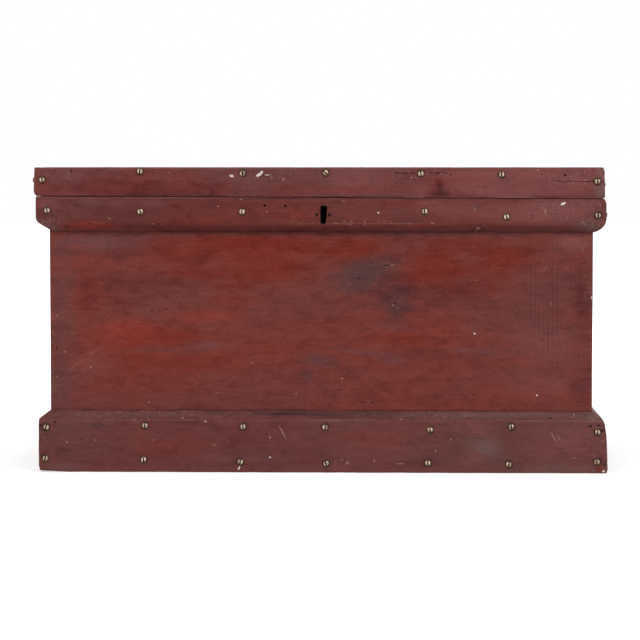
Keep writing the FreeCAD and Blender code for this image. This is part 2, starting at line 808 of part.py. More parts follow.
# The bottom boards, each with a tongue on its right that fits the next one's groove.
board_width = S.case_length / BOTTOM_BOARD_COUNT
bottom_blanks, nail_spots = [], []
for number in range(BOTTOM_BOARD_COUNT):
    body = new_body(f"bottom_board_{number + 1}_blank")
    left, right = -board_width / 2, board_width / 2
    low = (S.bottom_thickness - S.tongue_thickness) / 2
    high = low + S.tongue_thickness
    groove = left + S.tongue_length + S.tongue_end_gap
    corners = [(left, ZERO), (right, ZERO)]
    if number < BOTTOM_BOARD_COUNT - 1:
        tongue = right + S.tongue_length
        corners += [(right, low), (tongue, low), (tongue, high), (right, high)]
    corners += [(right, S.bottom_thickness), (left, S.bottom_thickness)]
    if number > 0:
        corners += [(left, high), (groove, high), (groove, low), (left, low)]
    sketch = new_sketch(body, "XZ_Plane")
    add_outline(sketch, corners)
    pad(body, sketch, S.case_depth)
    middle = board_width * (number + 0.5) - half_length
    place(body, middle, ZERO, S.floor_gap)
    bottom_blanks.append(body)
    for share in BOTTOM_NAIL_SHARES:
        for sign in (-1, 1):
            reach = half_depth - S.wall_thickness / 2
            nail_spots.append((middle + board_width * (share - 0.5), reach * sign, S.floor_gap))

nails = [place(copy_of(bottom_nail, "nail"), *spot) for spot in nail_spots]
finish("bottom_nails", group("bottom_nails", nails))
nail_bores = [place(copy_of(nail_bore, "nail_bore"), *spot, 90, axis=(1, 0, 0)) for spot in nail_spots]
nail_bore_group = group("bottom_nail_bores", nail_bores)

# The keyhole runs through the band and the front wall into the lock.
lock_x = S.keyhole_offset
keyhole_z = band_base + S.keyhole_rise
band_face = half_depth + S.band_thickness
plate_face = inner_half_depth + S.lock_plate_thickness
cap_face = plate_face + S.cap_depth
keyhole = new_body("keyhole_core")
keyhole_start = band_face + S.overrun
sketch = new_sketch(keyhole, "XZ_Plane", keyhole_start)
top, foot, lean = S.keyhole_top_width / 2, S.keyhole_foot_width / 2, S.keyhole_lean / 2
corner = S.keyhole_corner_radius
add_outline(
    sketch,
    (
        (-foot - lean, -S.keyhole_height / 2, corner), (foot - lean, -S.keyhole_height / 2, corner),
        (top + lean, S.keyhole_height / 2, corner), (lean - top, S.keyhole_height / 2, corner),
    ),
)
pad(keyhole, sketch, keyhole_start - cap_face + S.cap_wall, "One side", True)
place(keyhole, lock_x, ZERO, keyhole_z)

# The box lock: a plate bent over the top of the wall, with a cap that boxes its works.
selvedge_base = case_top - S.lock_plate_thickness
cap_base = selvedge_base - S.cap_height
half_loops = S.loop_spacing / 2
works_y = (plate_face + cap_face - S.cap_wall) / 2
cap_half = (
    half_loops + S.loop_thickness / 2 + S.bolt_travel + S.bolt_upright_gap + S.bolt_upright_width
    + S.bolt_end_gap + S.cap_wall
)
plate_half = cap_half + S.lock_flange
plate_base = case_top - S.lock_plate_height
lock_plate = new_body("lock_plate_blank")
sketch = new_sketch(lock_plate, "YZ_Plane")
selvedge_face = inner_half_depth + S.selvedge_depth
plate_corners = (
    (-plate_face, plate_base), (-inner_half_depth, plate_base), (-inner_half_depth, case_top),
    (-selvedge_face, case_top), (-selvedge_face, selvedge_base), (-plate_face, selvedge_base),
)
add_outline(sketch, plate_corners)
pad(lock_plate, sketch, plate_half * 2)
sketch = new_sketch(lock_plate, "XY_Plane")
slot_half = S.loop_thickness / 2 + S.loop_slot_clearance
slot_front = works_y + S.loop_width / 2 + S.loop_slot_front_clearance
for centre in (-half_loops, half_loops):
    add_rectangle(sketch, centre - slot_half, centre + slot_half, -slot_front, -plate_face)
pocket(lock_plate, sketch)
place(lock_plate, lock_x)

lock_cap = new_body("lock_cap")
sketch = new_sketch(lock_cap, "XZ_Plane", cap_face)
add_rectangle(sketch, -cap_half, cap_half, cap_base, selvedge_base)
pad(lock_cap, sketch, S.cap_depth, "One side", True)
sketch = new_sketch(lock_cap, "XZ_Plane", plate_face)
inner = cap_half - S.cap_wall
add_rectangle(sketch, -inner, inner, cap_base + S.cap_wall, selvedge_base + S.overrun)
pocket(lock_cap, sketch, S.cap_depth - S.cap_wall, True)
sketch = new_sketch(lock_cap, "XZ_Plane")
slot = S.cap_keyhole_width / 2
slot_top, slot_foot = keyhole_z + S.cap_keyhole_height / 2, keyhole_z - S.cap_keyhole_height / 2
add_rectangle(sketch, -slot, slot, slot_foot, slot_top)
pocket(lock_cap, sketch)
place(lock_cap, lock_x)
finish("lock_cap", lock_cap)

# The bolt slides sideways on two guide pins and hooks its fingers through the loops.
loop_base = lid_base - S.loop_drop
window_base = loop_base + S.loop_foot
finger_base = window_base + (S.loop_window_height - S.bolt_finger_height) / 2
finger_top = finger_base + S.bolt_finger_height
bar_top = loop_base - S.bolt_bar_drop
bar_base = bar_top - S.bolt_bar_height
bar_right = inner - S.bolt_end_gap - S.bolt_travel
talon, talon_top = S.talon_width / 2, bar_base + S.talon_depth
bolt_corners = [
    (-talon, bar_base), (-talon, talon_top), (talon, talon_top), (talon, bar_base),
    (bar_right, bar_base), (bar_right, bar_top),
]
for centre in (half_loops, -half_loops):
    upright = centre - S.loop_thickness / 2 - S.bolt_travel - S.bolt_upright_gap
    tip = centre - S.loop_thickness / 2 - S.bolt_finger_gap
    bolt_corners += [
        (upright, bar_top), (upright, finger_base), (tip, finger_base), (tip, finger_top),
        (upright - S.bolt_upright_width, finger_top),
    ]
    if centre is half_loops:
        bolt_corners.append((upright - S.bolt_upright_width, bar_top))
bolt_corners.append((upright - S.bolt_upright_width, bar_base))
lock_bolt = new_body("lock_bolt")
sketch = new_sketch(lock_bolt, "XZ_Plane", works_y)
add_outline(sketch, bolt_corners)
pad(lock_bolt, sketch, S.bolt_thickness)
sketch = new_sketch(lock_bolt, "XZ_Plane")
guide_z = (bar_base + bar_top) / 2
guide_half = S.guide_pin_diameter / 2 + S.guide_clearance
for centre in (-S.guide_spacing / 2, S.guide_spacing / 2):
    slot_start = centre - S.bolt_travel - guide_half
    add_rectangle(sketch, slot_start, centre + guide_half, guide_z - guide_half, guide_z + guide_half)
pocket(lock_bolt, sketch)
place(lock_bolt, lock_x)
finish("lock_bolt", lock_bolt)


def lock_pin(label, x, z, diameter, start, end):
    """A round pin of the lock from y = -start towards the front, to y = -end."""
    made = doc.addObject("Part::Cylinder", label)
    bind(made, "Radius", diameter / 2)
    bind(made, "Height", end - start)
    return place(made, x, -start, z, 90, axis=(1, 0, 0))


guide_end = works_y + S.bolt_thickness / 2 + S.cap_wall
guides = [
    lock_pin("guide_pin", lock_x + offset, guide_z, S.guide_pin_diameter, plate_face, guide_end)
    for offset in (-S.guide_spacing / 2, S.guide_spacing / 2)
]
finish("lock_guide_pins", group("lock_guide_pins", guides))
key_pin_z = keyhole_z + S.keyhole_height / 2 - S.key_pin_drop
finish(
    "lock_key_pin",
    lock_pin("lock_key_pin", lock_x, key_pin_z, S.key_pin_diameter, plate_face, cap_face + S.key_pin_stand),
)

# A flat spring from the cap's wall bears on the bolt's bar, past its last finger.
spring = new_body("lock_bolt_spring")
sketch = new_sketch(spring, "XZ_Plane", works_y)
spring_foot = bar_right - (bar_right - half_loops) * SPRING_FOOT_SHARE
spring_low, spring_high = bar_top + S.spring_gap, bar_top + S.spring_rise
add_outline(
    sketch,
    (
        (spring_foot - S.spring_thickness, spring_low), (spring_foot + S.spring_thickness, spring_low),
        (inner, spring_high), (inner, spring_high + S.spring_thickness),
    ),
)
pad(spring, sketch, S.bolt_thickness)
place(spring, lock_x)
finish("lock_bolt_spring", spring)

flange_middle = plate_half - S.lock_flange / 2
lock_spots = [
    (lock_x + flange_middle * sign, inner_half_depth, plate_base + S.lock_plate_height * up)
    for sign in (-1, 1)
    for up in LOCK_SCREW_HEIGHT_SHARES
]


def turned_copies(label, master, spots):
    """Copies of a master that points along +Y, turned to point to the front."""
    return group(label, [place(copy_of(master, label), x, -y, z, 180) for x, y, z in spots])


finish("lock_screws", turned_copies("lock_screws", lock_screw, lock_spots))
lock_bores = turned_copies("lock_bores", lock_bore, lock_spots)
finish("lock_plate", cut("lock_plate", lock_plate, [lock_bores]))

# The mortise in the front wall takes the plate, the cap and the bend over the top.
mortise = new_body("lock_mortise")
sketch = new_sketch(mortise, "YZ_Plane")
add_outline(
    sketch,
    (
        (-plate_face, plate_base), (-inner_half_depth + S.overrun, plate_base),
        (-inner_half_depth + S.overrun, case_top + S.overrun), (-selvedge_face, case_top + S.overrun),
        (-selvedge_face, selvedge_base), (-plate_face, selvedge_base),
    ),
)
pad(mortise, sketch, plate_half * 2)
sketch = new_sketch(mortise, "XZ_Plane", cap_face)
add_rectangle(sketch, -cap_half, cap_half, cap_base, selvedge_base)
pad(mortise, sketch, S.cap_depth, "One side", True)
place(mortise, lock_x)

# The strike plate is let into the lid's underside, and its loops hang into the lock.
strike = new_body("strike_plate_blank")
strike_half = S.strike_plate_length / 2
strike_low, strike_high = -works_y - S.strike_plate_width / 2, -works_y + S.strike_plate_width / 2
sketch = new_sketch(strike, "XY_Plane", lid_base)
add_rectangle(sketch, -strike_half, strike_half, strike_low, strike_high)
pad(strike, sketch, S.strike_plate_thickness, "One side")
sketch = new_sketch(strike, "XY_Plane", lid_base)
for centre in (-half_loops, half_loops):
    reach = S.loop_thickness / 2
    add_rectangle(
        sketch, centre - reach, centre + reach, -works_y - S.loop_width / 2, -works_y + S.loop_width / 2
    )
pad(strike, sketch, S.loop_drop, "One side", True)
sketch = new_sketch(strike, "YZ_Plane")
add_rectangle(
    sketch, -works_y - S.loop_window_width / 2, -works_y + S.loop_window_width / 2,
    window_base, window_base + S.loop_window_height,
)
pocket(strike, sketch)
place(strike, lock_x)
strike_mortise = box(
    "strike_mortise",
    (lock_x - strike_half, strike_low, lid_base - S.overrun),
    (lock_x + strike_half, strike_high, lid_base + S.strike_plate_thickness),
)

# Two butt hinges: one leaf in the top of the back wall, one in the lid's underside.
pin_y = half_depth + S.hinge_barrel_gap + S.hinge_barrel_radius
pin_z = case_top + S.lid_gap / 2
knuckle_pitch = S.hinge_length / KNUCKLE_COUNT
screw_pitch = S.hinge_length / HINGE_SCREW_COUNT


def hinge_leaf(label, on_lid):
    """A hinge leaf with its knuckles: the case leaf has the odd ones, the lid leaf the even."""
    body = new_body(label)
    low = S.lid_gap / 2 if on_lid else -S.lid_gap / 2 - S.hinge_leaf_thickness
    high = low + S.hinge_leaf_thickness
    sketch = new_sketch(body, "XY_Plane", low)
    wall_edge = half_depth - pin_y
    add_rectangle(sketch, -S.hinge_length / 2, S.hinge_length / 2, wall_edge - S.hinge_leaf_width, wall_edge)
    pad(body, sketch, S.hinge_leaf_thickness, "One side")
    first = 1 if on_lid else 0
    half_knuckle = (knuckle_pitch - S.hinge_knuckle_gap) / 2
    for index in range(first, KNUCKLE_COUNT, 2):
        centre = knuckle_pitch * (index + 0.5) - S.hinge_length / 2
        web = new_sketch(body, "XY_Plane", low)
        web_edge = wall_edge - S.hinge_leaf_thickness
        add_rectangle(web, centre - half_knuckle, centre + half_knuckle, web_edge, ZERO)
        pad(body, web, S.hinge_leaf_thickness, "One side")
        barrel = new_sketch(body, "YZ_Plane", centre)
        add_circle(barrel, ZERO, ZERO, S.hinge_barrel_radius)
        pad(body, barrel, half_knuckle * 2)
    sketch = new_sketch(body, "YZ_Plane")
    add_circle(sketch, ZERO, ZERO, S.hinge_pin_diameter / 2 + S.hinge_pin_clearance)
    pocket(body, sketch)
    return body


def hinge_pin(label):
    """A hinge pin along X with a head at each end of the barrel."""
    body = new_body(label)
    sketch = new_sketch(body, "XY_Plane")
    half, radius = S.hinge_length / 2, S.hinge_pin_diameter / 2
    seat = half - S.hinge_knuckle_gap / 2
    end, head = seat + S.hinge_pin_head_length, S.hinge_pin_head_radius
    add_outline(
        sketch,
        (
            (-end, ZERO), (end, ZERO), (end, head), (seat, head), (seat, radius),
            (-seat, radius), (-seat, head), (-end, head),
        ),
    )
    revolve(body, sketch, "X_Axis")
    return body


screw_y = half_depth - S.hinge_leaf_width / 2
flat_groups = {}
case_mortises, lid_mortises = [], []
for side, sign in (("left", -1), ("right", 1)):
    hinge_x = (half_length - S.hinge_inset) * sign
    low_z, high_z = case_top - S.hinge_leaf_thickness, lid_base + S.hinge_leaf_thickness
    back, front = half_depth + S.overrun, half_depth - S.hinge_leaf_width
    near, far = hinge_x - S.hinge_length / 2, hinge_x + S.hinge_length / 2
    case_mortises.append(box(f"{side}_case_mortise", (near, front, low_z), (far, back, case_top + S.overrun)))
    lid_mortises.append(box(f"{side}_lid_mortise", (near, front, lid_base - S.overrun), (far, back, high_z)))
    for leaf, level, turn in (("case", case_top, 180), ("lid", lid_base, 0)):
        blank = place(hinge_leaf(f"{side}_hinge_{leaf}_leaf_blank", leaf == "lid"), hinge_x, pin_y, pin_z)
        spots = [
            (hinge_x + screw_pitch * (index - (HINGE_SCREW_COUNT - 1) / 2), screw_y, level, turn)
            for index in range(HINGE_SCREW_COUNT)
        ]
        seats = copies(f"{side}_hinge_{leaf}_seats", hinge_screw_seat, spots)
        flat_groups[side, leaf] = seats
        finish(f"{side}_hinge_{leaf}_screws", copies(f"{side}_hinge_{leaf}_screws", hinge_screw, spots))
        finish(f"{side}_hinge_{leaf}_leaf", cut(f"{side}_hinge_{leaf}_leaf", blank, [seats]))
    finish(f"{side}_hinge_pin", place(hinge_pin(f"{side}_hinge_pin"), hinge_x, pin_y, pin_z))

strike_reach = (strike_half + half_loops + S.loop_thickness / 2) / 2
strike_spots = [(lock_x + strike_reach * sign, -works_y, lid_base, 0) for sign in (-1, 1)]
strike_seats = copies("strike_seats", hinge_screw_seat, strike_spots)
finish("strike_screws", copies("strike_screws", hinge_screw, strike_spots))
finish("strike_plate", cut("strike_plate", strike, [strike_seats]))

# Old nail holes and the two pin holes beside the keyhole.
band_face_y, rim_face_y = -S.band_thickness / 2, -rim_front_thickness / 2
band_marks = [(band_length * along, band_face_y, band_level(up), 0) for along, up in BAND_NAIL_HOLE_SHARES]
band_marks += [
    (lock_x + S.keyhole_top_width * share, band_face_y, S.keyhole_rise, 0) for share in PLATE_PIN_SHARES
]
rim_marks = [(band_length * along, rim_face_y, S.rim_height * up, 0) for along, up in RIM_NAIL_HOLE_SHARES]
band_holes = copies("band_nail_holes", nail_hole, band_marks, rails["upper_band", "front"])
rim_holes = copies("rim_nail_holes", nail_hole, rim_marks, rails["lid_rim", "front"])

# Each rail is bored for its own screws, and a side rail for those of the front and back.
for (name, side), blank in rails.items():
    tools = [bores[name, side]]
    if side in ("left", "right"):
        tools += [bores[name, end] for end in ("front", "back") if (name, end) in bores]
    if (name, side) == ("upper_band", "front"):
        tools += [keyhole, band_holes]
    if (name, side) == ("lid_rim", "front"):
        tools.append(rim_holes)
    finish(f"{name}_{side}", cut(f"{name}_{side}", blank, tools))

# The walls, with the bores of all that is screwed and nailed to them.
for side, turn in SIDES:
    across = side in ("left", "right")
    sign = -1 if side in ("front", "left") else 1
    label = f"{side}_end_board" if across else f"{side}_board"
    wall = wall_with_pins(f"{label}_blank") if across else wall_with_tails(f"{label}_blank")
    if across:
        place(wall, (half_length - S.wall_thickness / 2) * sign, ZERO, wall_base, turn)
    else:
        place(wall, ZERO, (half_depth - S.wall_thickness / 2) * sign, wall_base, turn)
    tools = [bores["plinth", side], bores["upper_band", side]]
    if not across:
        tools.append(nail_bore_group)
    if side == "front":
        tools += [mortise, keyhole, lock_bores]
    if side == "back":
        tools += case_mortises + [flat_groups["left", "case"], flat_groups["right", "case"]]
    finish(label, cut(label, wall, tools))

for number, blank in enumerate(bottom_blanks, 1):
    tools = [nail_bore_group, bores["plinth", "front"], bores["plinth", "back"]]
    if number == 1:
        tools.append(bores["plinth", "left"])
    if number == BOTTOM_BOARD_COUNT:
        tools.append(bores["plinth", "right"])
    finish(f"bottom_board_{number}", cut(f"bottom_board_{number}", blank, tools))

# The lid's boards, edge to edge from the front rim to the back.
start = -lid_front
lid_depth = half_depth + lid_front
for name, share in zip(("front", "middle", "back"), LID_BOARD_SHARES):
    label = f"lid_board_{name}"
    depth = lid_depth * share
    blank = new_body(f"{label}_blank")
    sketch = new_sketch(blank, "XY_Plane")
    add_rectangle(sketch, -lid_board_length / 2, lid_board_length / 2, -depth / 2, depth / 2)
    pad(blank, sketch, S.lid_thickness, "One side")
    place(blank, lid_shift, start + depth / 2, lid_base)
    start = start + depth
    tools = [bores["lid_rim", "left"], bores["lid_rim", "right"]]
    if name == "front":
        tools += [bores["lid_rim", "front"], strike_mortise, strike_seats]
    if name == "back":
        tools += lid_mortises + [flat_groups["left", "lid"], flat_groups["right", "lid"]]
    finish(label, cut(label, blank, tools))

doc.recompute()
for thing in doc.Objects:
    if {"Invalid", "Error"} & set(thing.State):
        raise RuntimeError(f"{thing.Label} failed: {thing.State}")
os.makedirs("parts", exist_ok=True)
for piece in pieces:
    shape = piece.Shape
    if shape.isNull() or not shape.isValid() or not shape.Solids:
        raise RuntimeError(f"{piece.Label} has no sound solid")
    shape.exportStep(os.path.join("parts", f"{piece.Label}.step"))
print(f"{len(pieces)} pieces, {sum(len(piece.Shape.Solids) for piece in pieces)} solids")
for name, size in (
    ("top of the case", case_top), ("underside of the lid", lid_base), ("top of the lid", lid_top),
    ("foot of the band", band_base), ("middle of the keyhole", keyhole_z),
    ("hinge pin behind the middle", pin_y), ("hinge pin above the floor", pin_z),
):
    print(f"{name}: {size.value:.3f}")
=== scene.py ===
import logging
import math
import random
from collections.abc import Callable, Mapping, Sequence
from dataclasses import dataclass, field
from enum import Enum

import bpy
from mathutils import Euler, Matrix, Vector


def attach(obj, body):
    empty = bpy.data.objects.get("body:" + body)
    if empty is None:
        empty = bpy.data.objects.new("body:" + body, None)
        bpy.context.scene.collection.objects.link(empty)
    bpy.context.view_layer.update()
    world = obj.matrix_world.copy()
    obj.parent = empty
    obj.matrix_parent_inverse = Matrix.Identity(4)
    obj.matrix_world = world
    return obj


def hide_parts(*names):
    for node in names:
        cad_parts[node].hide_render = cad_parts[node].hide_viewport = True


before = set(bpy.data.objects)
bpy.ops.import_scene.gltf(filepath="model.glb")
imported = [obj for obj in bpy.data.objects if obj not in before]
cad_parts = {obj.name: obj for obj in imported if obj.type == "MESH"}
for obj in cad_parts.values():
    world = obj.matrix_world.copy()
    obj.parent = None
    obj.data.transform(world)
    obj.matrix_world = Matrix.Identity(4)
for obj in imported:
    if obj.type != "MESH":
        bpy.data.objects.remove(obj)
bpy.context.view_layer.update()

# A painted pine trunk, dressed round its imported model. Sizes are written in millimetres
# in the tables and turned to metres by MM. +X is right, +Y is the back and +Z is up.

MM = 0.001
LOG = logging.getLogger("trunk")
# How far a spot is felt, as a multiple of its reach.
SPREAD = 1.6
# How far a cutter stands past the wood, in millimetres.
OVERCUT = 2.0
# The least length of a board's own edges, and that of any edge, in millimetres.
LONG, ANY = 50.0, 1.0
# How squarely a face looks along an axis, from 0 to 1, and how near is the same, in metres.
SQUARE, SAME = 0.9, 1e-4
# The material slots of a piece: paint, bare wood, the dark raw wood in holes, which also paints their shade,
# and two more paints.
PAINTED, BARE, RAW, FRONT_SKIN, BACK_SKIN = range(5)
WHITE = (1.0, 1.0, 1.0, 1.0)
CHALK = ("chalk_outer", "chalk_inner", "chalk_raw")

Piece = bpy.types.Object
Socket = bpy.types.NodeSocket
Triple = tuple[float, float, float]
Stop = tuple[float, Triple]
Place = Callable[[Vector], bool]
Edge = Callable[[Vector, Vector], bool]
Face = Callable[[bpy.types.MeshPolygon], bool]
Inputs = Mapping[str | int, object]


def linear(colour: Triple) -> tuple[float, float, float, float]:
    """Turns a colour written as 0 to 255 into the shader's scale.

    Args:
        colour: Red, green and blue as a screen shows them.

    Returns:
        The same colour with its alpha, on a linear scale.
    """
    parts = [part / 255.0 for part in colour]
    parts = [part / 12.92 if part <= 0.04045 else ((part + 0.055) / 1.055) ** 2.4 for part in parts]
    return (parts[0], parts[1], parts[2], 1.0)


def metres(sizes: Sequence[float]) -> list[float]:
    """Turns sizes in millimetres into metres."""
    return [size * MM for size in sizes]


class Axis(Enum):
    """The three directions of the trunk."""

    X = 0
    Y = 1
    Z = 2

    def drawn(self, run: float, cross: float) -> Triple:
        """Scales that draw a pattern out along the axis."""
        scale = [cross, cross, cross]
        scale[self.value] = run
        return (scale[0], scale[1], scale[2])


class Tone(Enum):
    """Colours that the old paint has taken on, as 0 to 255."""

    BRIGHT = (138, 48, 34)
    ORANGE = (158, 62, 51)
    RED = (134, 54, 45)
    DULL = (114, 68, 65)
    MAUVE = (122, 76, 76)
    MAROON = (100, 46, 44)
    DARK_RED = (108, 38, 34)
    SMOKE = (94, 62, 62)
    EMBER = (128, 44, 31)
    ROSE = (142, 84, 81)
    SOOT = (58, 36, 35)
    WORN = (126, 98, 92)


class Facing(Enum):
    """The side of the trunk that a rail or wall stands on, with its turn in degrees."""

    FRONT = 0
    BACK = 180
    LEFT = -90
    RIGHT = 90


class Moulding(Enum):
    """Which edge of a rail is sloped, with the way that the edge falls."""

    NONE = 0
    FOOT = -1
    HEAD = 1


class Joint(Enum):
    """What is cut at the ends of a wall."""

    TAILS = 0
    PINS = 1


class Part(Enum):
    """What is picked on a mesh."""

    POINT = "vertices"
    EDGE = "edges"
    FACE = "polygons"


# Bench work


def lay_down_tools() -> None:
    """Goes back to object mode with nothing selected."""
    if bpy.context.object is not None and bpy.context.object.mode != "OBJECT":
        bpy.ops.object.mode_set(mode="OBJECT")
    bpy.ops.object.select_all(action="DESELECT")


def take(*pieces: Piece) -> None:
    """Selects pieces, the last one as the one worked on."""
    lay_down_tools()
    for piece in pieces:
        piece.select_set(True)
    bpy.context.view_layer.objects.active = pieces[-1]


def take_whole(piece: Piece) -> None:
    """Takes a piece to edit mode with all of its mesh selected."""
    take(piece)
    bpy.ops.object.mode_set(mode="EDIT")
    bpy.ops.mesh.select_all(action="SELECT")


def settle(piece: Piece) -> Piece:
    """Puts a piece's place, turn and scale into its mesh."""
    take(piece)
    bpy.ops.object.transform_apply(location=True, rotation=True, scale=True)
    return piece


def saw_block(name: str, low: Sequence[float], high: Sequence[float]) -> Piece:
    """Saws a block between two corners.

    Args:
        name: The block's name.
        low: Its lowest corner in millimetres.
        high: Its highest corner in millimetres.

    Returns:
        The block, its place in its mesh.
    """
    lay_down_tools()
    middle = [(a + b) / 2 * MM for a, b in zip(low, high)]
    size = [(b - a) * MM for a, b in zip(low, high)]
    bpy.ops.mesh.primitive_cube_add(size=1, location=middle, scale=size)
    block = bpy.context.object
    block.name = name
    return settle(block)


def mark(piece: Piece, kind: Part, wanted: Callable[..., bool]) -> int:
    """Selects the parts of a mesh that pass a test and goes to edit mode.

    Args:
        piece: The piece that is marked.
        kind: Whether points, edges or faces are picked.
        wanted: The test of one such part.

    Returns:
        How many parts are marked.
    """
    take(piece)
    for each in Part:
        parts = getattr(piece.data, each.value)
        parts.foreach_set("select", [False] * len(parts))
    count = 0
    for part in getattr(piece.data, kind.value):
        part.select = wanted(part)
        count += part.select
    bpy.context.tool_settings.mesh_select_mode = tuple(each is kind for each in Part)
    bpy.ops.object.mode_set(mode="EDIT")
    return count


def mark_faces(piece: Piece, wanted: Face) -> int:
    """Marks faces by a test and tells how many."""
    return mark(piece, Part.FACE, wanted)


def mark_edges(piece: Piece, wanted: Edge) -> int:
    """Marks edges by a test of both ends and tells how many."""
    take(piece)
    points = [vertex.co for vertex in piece.data.vertices]
    return mark(piece, Part.EDGE, lambda edge: wanted(*(points[index] for index in edge.vertices)))


def along(first: Vector, second: Vector, axis: Axis, least: float) -> bool:
    """Whether an edge runs along an axis and is at least so many millimetres long."""
    run = second - first
    length = run.length
    return length > least * MM and abs(run[axis.value]) > 0.98 * length


def slice_off(piece: Piece, point: Sequence[float], outward: Sequence[float]) -> None:
    """Saws off what lies outside a plane and closes the cut.

    Args:
        piece: The piece to saw.
        point: A point of the plane, in millimetres.
        outward: The direction of the waste.
    """
    take_whole(piece)
    bpy.ops.mesh.bisect(plane_co=metres(point), plane_no=outward, use_fill=True, clear_outer=True)
    lay_down_tools()


def score(piece: Piece, point: Sequence[float], across: Sequence[float]) -> None:
    """Adds a line of edges round a piece where a plane meets it."""
    take_whole(piece)
    bpy.ops.mesh.bisect(plane_co=metres(point), plane_no=across)
    lay_down_tools()


def ease_edges(piece: Piece, wanted: Edge, width: float, steps: int) -> None:
    """Rounds chosen edges.

    Args:
        piece: The piece to work on.
        wanted: A test of an edge's two ends.
        width: The width of the rounding in millimetres.
        steps: How many facets it gets.
    """
    if mark_edges(piece, wanted):
        bpy.ops.mesh.bevel(
            offset=width * MM, offset_type="OFFSET", segments=steps, profile=0.5, clamp_overlap=True
        )
    lay_down_tools()


def ease_outline(piece: Piece, spared: Edge, width: float, steps: int, sharp: float = 38.0) -> None:
    """Rounds every sharp edge of a piece except the spared ones.

    Args:
        piece: The piece to work on.
        spared: A test of an edge's two ends.
        width: The width of the rounding in millimetres.
        steps: How many facets it gets.
        sharp: The least angle of a sharp edge, in degrees.
    """
    take(piece)
    bpy.context.tool_settings.mesh_select_mode = (False, True, False)
    bpy.ops.object.mode_set(mode="EDIT")
    bpy.ops.mesh.select_all(action="DESELECT")
    bpy.ops.mesh.edges_select_sharp(sharpness=math.radians(sharp))
    lay_down_tools()
    points = piece.data.vertices
    ends = [tuple(points[index].co for index in edge.vertices) for edge in piece.data.edges if edge.select]
    found = {frozenset((tuple(first), tuple(second))) for first, second in ends if not spared(first, second)}
    ease_edges(piece, lambda first, second: frozenset((tuple(first), tuple(second))) in found, width, steps)


def rule_lines(piece: Piece, axis: Axis, count: int, least: float = LONG) -> None:
    """Divides the long edges of a piece so that its faces can follow hand work.

    Args:
        piece: The piece to divide.
        axis: The direction of the edges that are divided.
        count: How many cuts they get.
        least: The shortest edge that is divided, in millimetres.
    """
    if mark_edges(piece, lambda first, second: along(first, second, axis, least)):
        bpy.ops.mesh.subdivide(number_cuts=count)
    lay_down_tools()


def pull_out(step: Triple) -> None:
    """Extrudes what is marked by a step in millimetres."""
    bpy.ops.mesh.extrude_region_move(TRANSFORM_OT_translate={"value": metres(step)})


def close_seams(piece: Piece, gap: float = 1e-5) -> None:
    """Merges the points of a piece that are nearer than a gap in metres and turns its faces outwards."""
    take_whole(piece)
    bpy.ops.mesh.remove_doubles(threshold=gap)
    bpy.ops.mesh.normals_make_consistent(inside=False)
    lay_down_tools()


def apply_modifier(piece: Piece, modifier: bpy.types.Modifier) -> None:
    """Applies a modifier to a piece's mesh."""
    take(piece)
    bpy.ops.object.modifier_apply(modifier=modifier.name)


def join(name: str, pieces: Sequence[Piece]) -> Piece:
    """Joins pieces into one under a name."""
    take(*pieces)
    if len(pieces) > 1:
        bpy.ops.object.join()
    joined = bpy.context.object
    joined.name = name
    return joined


def copy_piece(piece: Piece, name: str) -> Piece:
    """A copy of a piece with a mesh of its own."""
    made = piece.copy()
    made.data = piece.data.copy()
    made.name = name
    bpy.context.scene.collection.objects.link(made)
    return made


def chalk(piece: Piece) -> None:
    """Gives a piece three chalk marks, so that its faces keep their slots through cuts and joins."""
    for name in CHALK[len(piece.data.materials):]:
        piece.data.materials.append(bpy.data.materials.get(name) or bpy.data.materials.new(name))


def wipe_chalk() -> None:
    """Takes the chalk marks out of the file once every piece is dressed."""
    for name in CHALK:
        if name in bpy.data.materials:
            bpy.data.materials.remove(bpy.data.materials[name])


def chisel(piece: Piece, cutters: Sequence[Piece], slot: int = RAW) -> None:
    """Cuts the shapes of the cutters out of a piece and puts the cutters away.

    Args:
        piece: The piece that is cut.
        cutters: The shapes to take out of it.
        slot: The finish of the cut faces, as a rule the raw wood in a hole.
    """
    if not cutters:
        return
    for cutter in cutters:
        chalk(cutter)
        for face in cutter.data.polygons:
            face.material_index = slot
    tool = join("cutter", cutters)
    chalk(piece)
    modifier = piece.modifiers.new("cut", "BOOLEAN")
    modifier.operation = "DIFFERENCE"
    modifier.solver = "EXACT"
    modifier.object = tool
    apply_modifier(piece, modifier)
    bpy.data.objects.remove(tool)


def waver(piece: Piece, depth: float, wave: float, detail: int, level: float, group: str = "") -> None:
    """Moves a piece's points in and out by soft waves.

    Args:
        piece: The piece to work on.
        depth: The full height of the waves in millimetres, less than nothing to go inwards.
        wave: Their width in millimetres.
        detail: How many finer waves lie in them.
        level: The height of the waves that leaves a point in its place, from 0 to 1.
        group: The points that move, or all of them.
    """
    texture = bpy.data.textures.new("hand_work", "CLOUDS")
    texture.noise_scale = wave * MM
    texture.noise_depth = detail
    modifier = piece.modifiers.new("hand_work", "DISPLACE")
    modifier.texture = texture
    modifier.texture_coords = "LOCAL"
    modifier.mid_level = level
    modifier.strength = depth * MM
    modifier.vertex_group = group
    apply_modifier(piece, modifier)
    bpy.data.textures.remove(texture)


def hand_plane(piece: Piece, depth: float, wave: float) -> None:
    """Gives the faces of a piece the slight hollows of hand planing, their depth and width in millimetres."""
    waver(piece, depth, wave, 1, 0.5)


